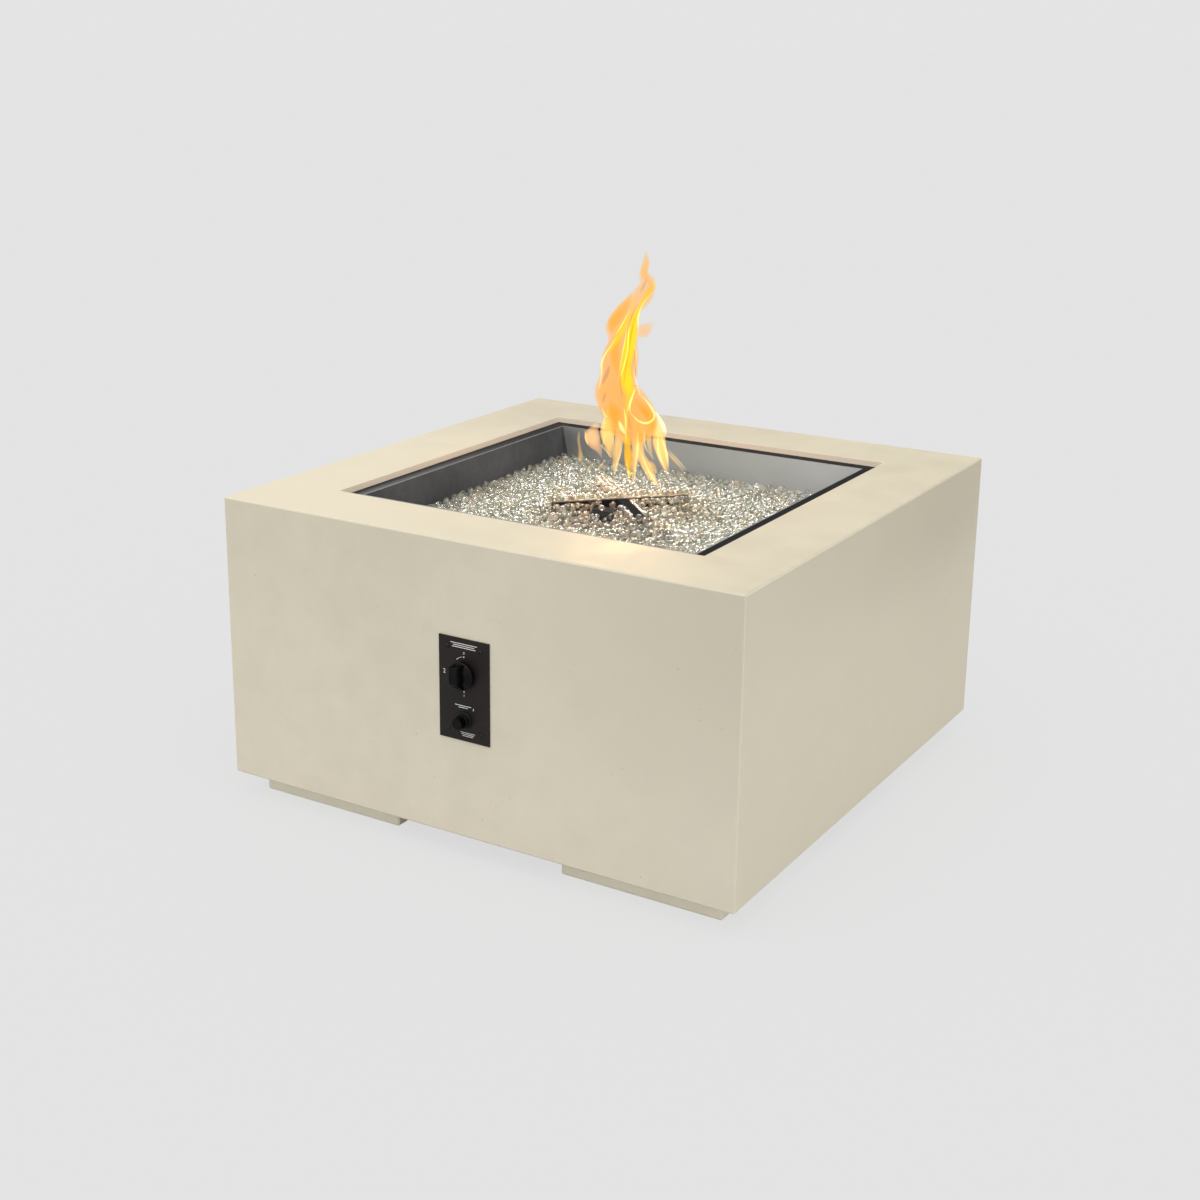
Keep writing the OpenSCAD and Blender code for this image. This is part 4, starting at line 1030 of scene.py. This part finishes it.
def makePrint():
    m = marks
    face = m["plate"] - m["thick"] / 2
    inked = []
    for dx, dz, wide, tall in m["rules"]:
        inked.append(block("printRule", (m["x"] + dx, face, m["z"] + dz), (wide, m["thick"], tall)))
    for up in (1, -1):
        clearSelection()
        bpy.ops.mesh.primitive_cylinder_add(vertices=20, radius=m["dot"], depth=m["thick"],
                                            rotation=(math.pi / 2, 0, 0),
                                            location=(m["x"], face, m["z"] + m["dialUp"] + up * m["dotRing"]))
        inked.append(settle(named("printDot")))
    start, end, near, far, wide = m["arc"]
    points, faces, steps = [], [], m["arcSteps"]
    centre = Vector((m["x"], face, m["z"] + m["dialUp"]))
    for i in range(steps + 1):
        ring = near + (far - near) * i / steps
        angle = math.radians(start + (end - start) * i / steps)
        half = wide * (0.35 + 0.65 * i / steps) / 2
        for r in (ring - half, ring + half):
            for y in (-m["thick"] / 2, m["thick"] / 2):
                points.append(centre + Vector((r * math.cos(angle), y, r * math.sin(angle))))
    for i in range(steps):
        a, b = 4 * i, 4 * i + 4
        faces += [(a, a + 2, b + 2, b), (a + 1, b + 1, b + 3, a + 3), (a, b, b + 1, a + 1),
                  (a + 2, a + 3, b + 3, b + 2)]
    faces += [(0, 1, 3, 2), (4 * steps, 4 * steps + 2, 4 * steps + 3, 4 * steps + 1)]
    inked.append(meshPiece("printArc", points, faces))
    for text, dx, dz, size in m["numbers"]:
        clearSelection()
        bpy.ops.object.text_add(location=(m["x"] + dx, face, m["z"] + dz), rotation=(math.pi / 2, 0, 0))
        number = bpy.context.object
        number.data.body = text
        number.data.size = size
        number.data.align_x = number.data.align_y = "CENTER"
        number.data.extrude = m["thick"] / 2
        bpy.ops.object.convert(target="MESH")
        inked.append(settle(named("printNumber")))
    # small spark sign above the igniter
    clearSelection()
    spot = Vector((m["x"] + m["sparkAt"][0], 0, m["z"] + m["sparkAt"][1]))
    front = [spot + Vector((x, m["plate"] - m["thick"], z)) for x, z in m["spark"]]
    rear = [spot + Vector((x, m["plate"], z)) for x, z in m["spark"]]
    count = len(front)
    faces = [tuple(range(count)), tuple(range(2 * count - 1, count - 1, -1))]
    faces += [(i, i + count, (i + 1) % count + count, (i + 1) % count) for i in range(count)]
    inked.append(meshPiece("printSpark", front + rear, faces))
    printed = joined("panelPrint", inked)
    editAll(printed)
    bpy.ops.mesh.remove_doubles(threshold=1e-7)
    bpy.ops.mesh.normals_make_consistent(inside=False)
    endEdit()
    look = Finish("whiteInk")
    worn = look.cloud(900.0, 3.0, 0.6)
    look.set("Base Color", look.blend(worn.ramp(0.55, 0.8), (0.80, 0.79, 0.75), (0.42, 0.41, 0.38)))
    look.set("Roughness", worn.ramp(0.3, 0.7, 0.45, 0.65))
    dress(printed, look.material)
    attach(printed, "table")


makePrint()
print("panel marks printed")


# flame over the burner: light and hot gas, so it is stage and no piece of the table

flame = {"ripple": 0.008, "rippleSize": 0.022, "tongueSwell": 1.4, "lampSize": 0.07,
         "ahead": {"core": 22, "amber": 30, "pale": 36, "strand": 38, "smoke": 36, "hot": 40},
         "lamps": [   # name, what it lights, place, power, colour
             ("glossLamp", "gems", (0.0, 0.0, 0.645), 1.6, (1.0, 0.66, 0.42)),
             ("rimLamp", "rimGlow", (0.0, 0.0, 0.645), 3.2, (1.0, 0.58, 0.24)),
             ("glowLamp", "glowing", (0.0, 0.0, 0.60), 1.1, (1.0, 0.55, 0.22))],
         "finishes": {   # name, colour that passes, density, glow and its strength
             "veil": ("flameVeil", (0.62, 0.26, 0.0), 48.0, (1.0, 0.70, 0.24), 25.0),
             "core": ("flameCore", (0.99, 0.90, 0.05), 160.0, (1.0, 0.46, 0.06), 58.0),
             "tongue": ("flameTongue", (0.62, 0.36, 0.0), 70.0, (1.0, 0.62, 0.22), 78.0),
             "pale": ("flameLine", (1.0, 0.96, 0.55), 120.0, (1.0, 0.84, 0.34), 170.0),
             "wisp": ("flameWisp", (0.62, 0.36, 0.0), 32.0, (1.0, 0.60, 0.28), 44.0),
             "amber": ("flameAmber", (0.9, 0.58, 0.0), 55.0, (1.0, 0.56, 0.06), 14.0),
             "strand": ("flameStrand", (0.80, 0.42, 0.02), 150.0, (1.0, 0.42, 0.02), 8.0),
             "smoke": ("flameSmoke", (0.15, 0.30, 0.55), 60.0, (1.0, 0.8, 0.7), 3.0),
             "hot": ("flameHeart", (1.0, 0.96, 0.60), 60.0, (1.0, 0.86, 0.50), 100.0)}}
flamePaths = [   # finish, then (across, height, radius) in millimetres
    ("veil", [(33, 871, 2), (35, 853, 6), (30, 835, 8), (39, 823, 12), (33, 806, 16),
              (17, 788, 17), (7, 775, 18), (-3, 751, 27), (0, 736, 23), (-2, 709, 29), (-6, 694, 31),
              (-7, 667, 29), (-10, 646, 37), (-2, 631, 38), (10, 612, 41), (18, 588, 46), (14, 572, 34),
              (12, 558, 8)]),
    ("veil", [(20, 738, 4), (28, 743, 11), (36, 748, 11), (44, 755, 6), (50, 760, 1.2)]),
    ("wisp", [(-40, 592, 3), (-45, 582, 9), (-49, 570, 14), (-44, 559, 11), (-34, 545, 3.8),
              (-32.4, 534, 1.1)]),
    ("tongue", [(-21.6, 620, 1.5), (-22, 590, 8.5), (-23, 573, 9), (-19, 551, 4.4), (-17.1, 534, 1.1)]),
    ("tongue", [(-3.2, 606, 1.5), (-4, 576, 4.8), (-6, 546, 5), (-10, 520, 3.3), (-10.7, 506, 1.1)]),
    ("tongue", [(23.6, 606, 1.5), (24, 576, 4.8), (25, 546, 5), (21, 515, 3), (21.7, 487, 0.8)]),
    ("tongue", [(34.2, 607, 1.5), (33, 577, 4.4), (30, 543, 4.6), (42, 521, 6), (54, 498, 4.4),
              (62.9, 484, 1.1)]),
    ("tongue", [(46.4, 609, 1.5), (46, 579, 3.1), (45, 554, 3.3), (52.9, 532, 0.8)]),
    ("tongue", [(58.4, 607, 1.5), (60, 577, 7.6), (64, 552, 8), (71, 529, 5.2), (75, 507, 1.1)]),
    ("tongue", [(73.8, 547, 1.1), (87, 534, 3.5), (103.3, 514, 1.1)]),
    ("tongue", [(-69.4, 579, 0.8), (-70.9, 565, 2.2), (-68, 551, 1.6), (-66, 533, 3.3),
              (-67.8, 527, 0.8)]),
    ("tongue", [(46.9, 528, 1.1), (53, 523, 4.4), (58.8, 509, 1.1)]),
    ("core", [(50.1, 823, 0.6), (48, 818, 2.0), (39, 804, 3.7), (26, 784, 3.7), (18, 765, 6),
              (14, 740, 9), (8, 709, 10), (3, 680, 9), (7, 656, 11), (12, 637, 7), (8, 615, 4.3),
              (5, 593, 3.5), (7, 568, 4.4), (11, 543, 8), (11, 526, 7), (13.5, 503, 2.5),
              (15.4, 487, 0.8)]),
    ("core", [(14.7, 804, 0.6), (16, 792, 2.3), (11, 771, 2.5), (3, 755, 5), (-8, 733, 6),
              (-19, 712, 2.7), (-32.7, 700, 1.2)]),
    ("pale", [(-3.7, 667, 0.8), (2.2, 688, 1.7), (8.0, 711, 1.7), (7.1, 740, 1.2), (10.3, 759, 0.6)]),
    ("pale", [(-7.8, 661, 0.6), (-4.1, 692, 1.2), (2.6, 726, 1.2), (4.9, 751, 0.6)]),
    ("pale", [(-38.7, 646, 0.6), (-33.6, 667, 1.2), (-36.0, 696, 1.9), (-25.0, 709, 0.8)]),
    ("pale", [(18.9, 648, 1.1), (14.1, 626, 1.9), (7.4, 610, 1.1)]),
    ("pale", [(12.8, 608, 0.8), (22.8, 594, 1.9), (41.7, 589, 2.2), (55.2, 602, 1.9),
              (39.5, 629, 1.4), (24.5, 639, 0.8)]),
    ("hot", [(52.1, 610, 1.1), (60, 598, 3.3), (67, 584, 4.6), (71.2, 569, 1.4)]),
    ("pale", [(24.8, 576, 0.8), (26.1, 549, 1.6), (21.2, 518, 1.6), (22.9, 481, 0.5)]),
    ("pale", [(1.5, 568, 0.8), (-0.8, 543, 1.6), (-9.0, 520, 1.4), (-10.1, 506, 0.5)]),
    ("pale", [(59.2, 571, 0.8), (56.3, 552, 1.9), (65.0, 526, 1.9), (75.3, 507, 0.5)]),
    ("pale", [(63.8, 568, 1.1), (71.7, 546, 2.2), (76.0, 524, 1.6), (75.8, 507, 0.5)]),
    ("pale", [(30.3, 543, 0.8), (38.9, 521, 1.6), (51.6, 498, 1.6), (62.1, 484, 0.5)]),
    ("pale", [(-60.1, 579, 0.8), (-59.2, 565, 2.2), (-55.8, 554, 0.8)]),
    ("pale", [(-35.4, 555, 0.8), (-26.5, 547, 1.6), (-18.2, 534, 0.8)]),
    ("pale", [(-56.1, 507, 0.5), (-55.1, 517, 1.4), (-46.5, 524, 0.5)]),
    ("pale", [(-45.2, 509, 0.5), (-36.2, 516, 1.4), (-29.5, 526, 0.5)]),
    ("pale", [(7.3, 532, 0.8), (10.4, 509, 1.4), (14.8, 486, 0.5)]),
    ("strand", [(21.2, 784, 0.8), (12.3, 765, 1.8), (7.4, 748, 1.6), (4.6, 734, 0.6)]),
    ("strand", [(24.7, 782, 0.6), (14.1, 753, 1.8), (8.6, 714, 2.2), (3.6, 680, 2.0), (1.5, 655, 0.8)]),
    ("strand", [(-4.8, 742, 0.6), (-12.5, 732, 1.6), (-18.0, 728, 0.6)]),
    ("strand", [(19.3, 713, 0.8), (17, 690, 3.3), (20.2, 667, 1.2)]),
    ("strand", [(-7.1, 688, 0.6), (-5.2, 656, 1.7), (-1.1, 633, 1.2)]),
    ("strand", [(13.3, 579, 1.4), (11.5, 592, 2.4), (9.7, 603, 0.8)]),
    ("amber", [(33, 869, 2), (35, 853, 6), (30, 836, 7), (36, 826, 7), (42, 815, 2)]),
    ("amber", [(26.2, 618, 2.2), (35, 607, 8), (45, 604, 2.7)]),
    ("amber", [(12.6, 805, 1.6), (5, 786, 7), (-9, 769, 10), (-20, 752, 10), (-20, 739, 2.9)]),
    ("amber", [(40.8, 832, 1.6), (49, 818, 6), (37, 799, 6), (25, 780, 2.5)]),
    ("amber", [(-4.7, 734, 1.6), (-11, 717, 6), (-15, 703, 8), (-10, 682, 5), (-7.8, 663, 1.7)]),
    ("amber", [(-20, 627, 2.7), (-14, 612, 12), (-10, 596, 9), (-14, 579, 3.8), (-15.1, 565, 1.1)]),
    ("amber", [(17.8, 633, 1.6), (32, 618, 8), (45, 602, 7), (50, 582, 8), (40.6, 574, 2.2)]),
    ("amber", [(24.0, 588, 1.6), (27, 576, 7), (31, 560, 3.3), (30.3, 543, 1.1)]),
    ("pale", [(17.4, 717, 0.6), (21.6, 707, 1.2), (18.6, 688, 1.2), (16.7, 667, 0.8), (28.1, 638, 1.2)]),
    ("pale", [(24.1, 736, 0.4), (21.7, 755, 1.0), (23.8, 773, 1.0), (33.3, 792, 1.0), (45.4, 803, 0.6)]),
    ("pale", [(-12.9, 730, 0.6), (-20.9, 715, 1.4), (-30.1, 703, 1.0), (-34.7, 688, 1.0)]),
    ("pale", [(10.0, 775, 0.6), (1.1, 759, 1.4), (-7.9, 742, 1.2), (-15.0, 730, 0.6)]),
    ("pale", [(-32.8, 615, 0.8), (-30.5, 604, 1.6), (-24.5, 600, 0.8)]),
    ("pale", [(36.8, 629, 0.8), (49.4, 610, 1.6), (54.2, 602, 0.8)]),
    ("pale", [(12.8, 607, 0.8), (9.9, 621, 2.2), (15.6, 635, 1.4), (20.3, 646, 0.8)]),
    ("pale", [(1.9, 615, 0.8), (6.2, 599, 1.9), (5.1, 579, 1.4), (6.8, 560, 0.8)]),
    ("hot", [(-6.0, 594, 1.4), (-2, 584, 5.2), (4.2, 573, 1.6)]),
    ("pale", [(36.4, 579, 0.8), (35.4, 560, 1.6), (41.2, 543, 1.1), (53.7, 530, 0.5)]),
    ("pale", [(-30.2, 576, 0.8), (-27.3, 565, 1.4), (-32.6, 551, 0.8)]),
    ("pale", [(-15.1, 568, 0.8), (-12.1, 548, 1.4), (-15.9, 531, 0.8)]),
    ("pale", [(75.2, 547, 0.8), (88.3, 534, 1.6), (104.1, 515, 0.8)]),
    ("smoke", [(34.4, 825, 1.2), (32, 815, 4), (25.0, 802, 1.2)]),
    ("smoke", [(-21.6, 684, 1.7), (-28, 665, 6), (-33.6, 654, 1.7)]),
    ("smoke", [(-26.9, 641, 1.6), (-31, 633, 4.9), (-31.8, 623, 1.4)])]


def flameFinish(name, passed, density, glow, strength):
    look = Finish(name)
    look.tree.nodes.remove(look.shader)
    soak = look.add("VolumeAbsorption", sockets={"Color": (*passed, 1), "Density": density})
    shine = look.add("Emission", sockets={"Color": (*glow, 1), "Strength": strength})
    look.put(look.output.inputs["Volume"], look.add("AddShader", sockets={0: soak, 1: shine}))
    return look.material


def makeFlame():
    finishes = {kind: flameFinish(*values) for kind, values in flame["finishes"].items()}
    across = Vector((math.cos(math.radians(shot["azimuth"])), math.sin(math.radians(shot["azimuth"])), 0))
    towards = Vector((across.y, -across.x, 0))
    rise = math.tan(math.radians(shot["elevation"]))
    ripple = bpy.data.textures.new("flameRipple", "CLOUDS")
    ripple.noise_scale = flame["rippleSize"]
    for count, (kind, path) in enumerate(flamePaths):
        clearSelection()
        bpy.ops.curve.primitive_nurbs_path_add()
        tongue = named("flameTongue" + str(count))
        tongue.data.splines.clear()
        spline = tongue.data.splines.new("NURBS")
        spline.points.add(len(path) - 1)
        ahead = flame["ahead"].get(kind, 0)
        for point, (u, z, r) in zip(spline.points, path):
            spot = (across * u + towards * ahead) * 0.001
            point.co = (spot.x, spot.y, (z + ahead * rise) * 0.001, 1)
            point.radius = r * (flame["tongueSwell"] if kind == "tongue" else 1.0)
        spline.order_u = 3
        spline.use_endpoint_u = True
        spline.resolution_u = 6
        tongue.data.bevel_depth = 0.001
        tongue.data.bevel_resolution = 6
        tongue.data.use_fill_caps = True
        bpy.ops.object.convert(target="MESH")
        tongue = settle(bpy.context.object)
        editAll(tongue)
        bpy.ops.mesh.remove_doubles(threshold=1e-6)
        bpy.ops.mesh.normals_make_consistent(inside=False)
        endEdit()
        size = max(r for u, z, r in path) / 40
        modify(tongue, "DISPLACE", texture=ripple, strength=flame["ripple"] * size ** 0.8, mid_level=0.5)
        smooth(tongue, 80)
        dress(tongue, finishes[kind])
        tongue.visible_shadow = tongue.visible_diffuse = tongue.visible_glossy = False
    for name, group, place, power, colour in flame["lamps"]:
        clearSelection()
        bpy.ops.object.light_add(type="POINT", location=place)
        lamp = named(name)
        lamp.data.energy = power
        lamp.data.color = colour
        lamp.data.shadow_soft_size = flame["lampSize"]
        lamp.visible_diffuse = name == "glowLamp"
        lamp.visible_glossy = name != "glowLamp"
        lamp.visible_transmission = False
        lightOnly(lamp, group)


makeFlame()
for name in ("castBody", "upperGems", "lowerGems", "gemFill"):
    lit["glowing"].objects.link(bpy.data.objects[name])
lit["rimGlow"].objects.link(bpy.data.objects["castBody"])
print("flame lit")
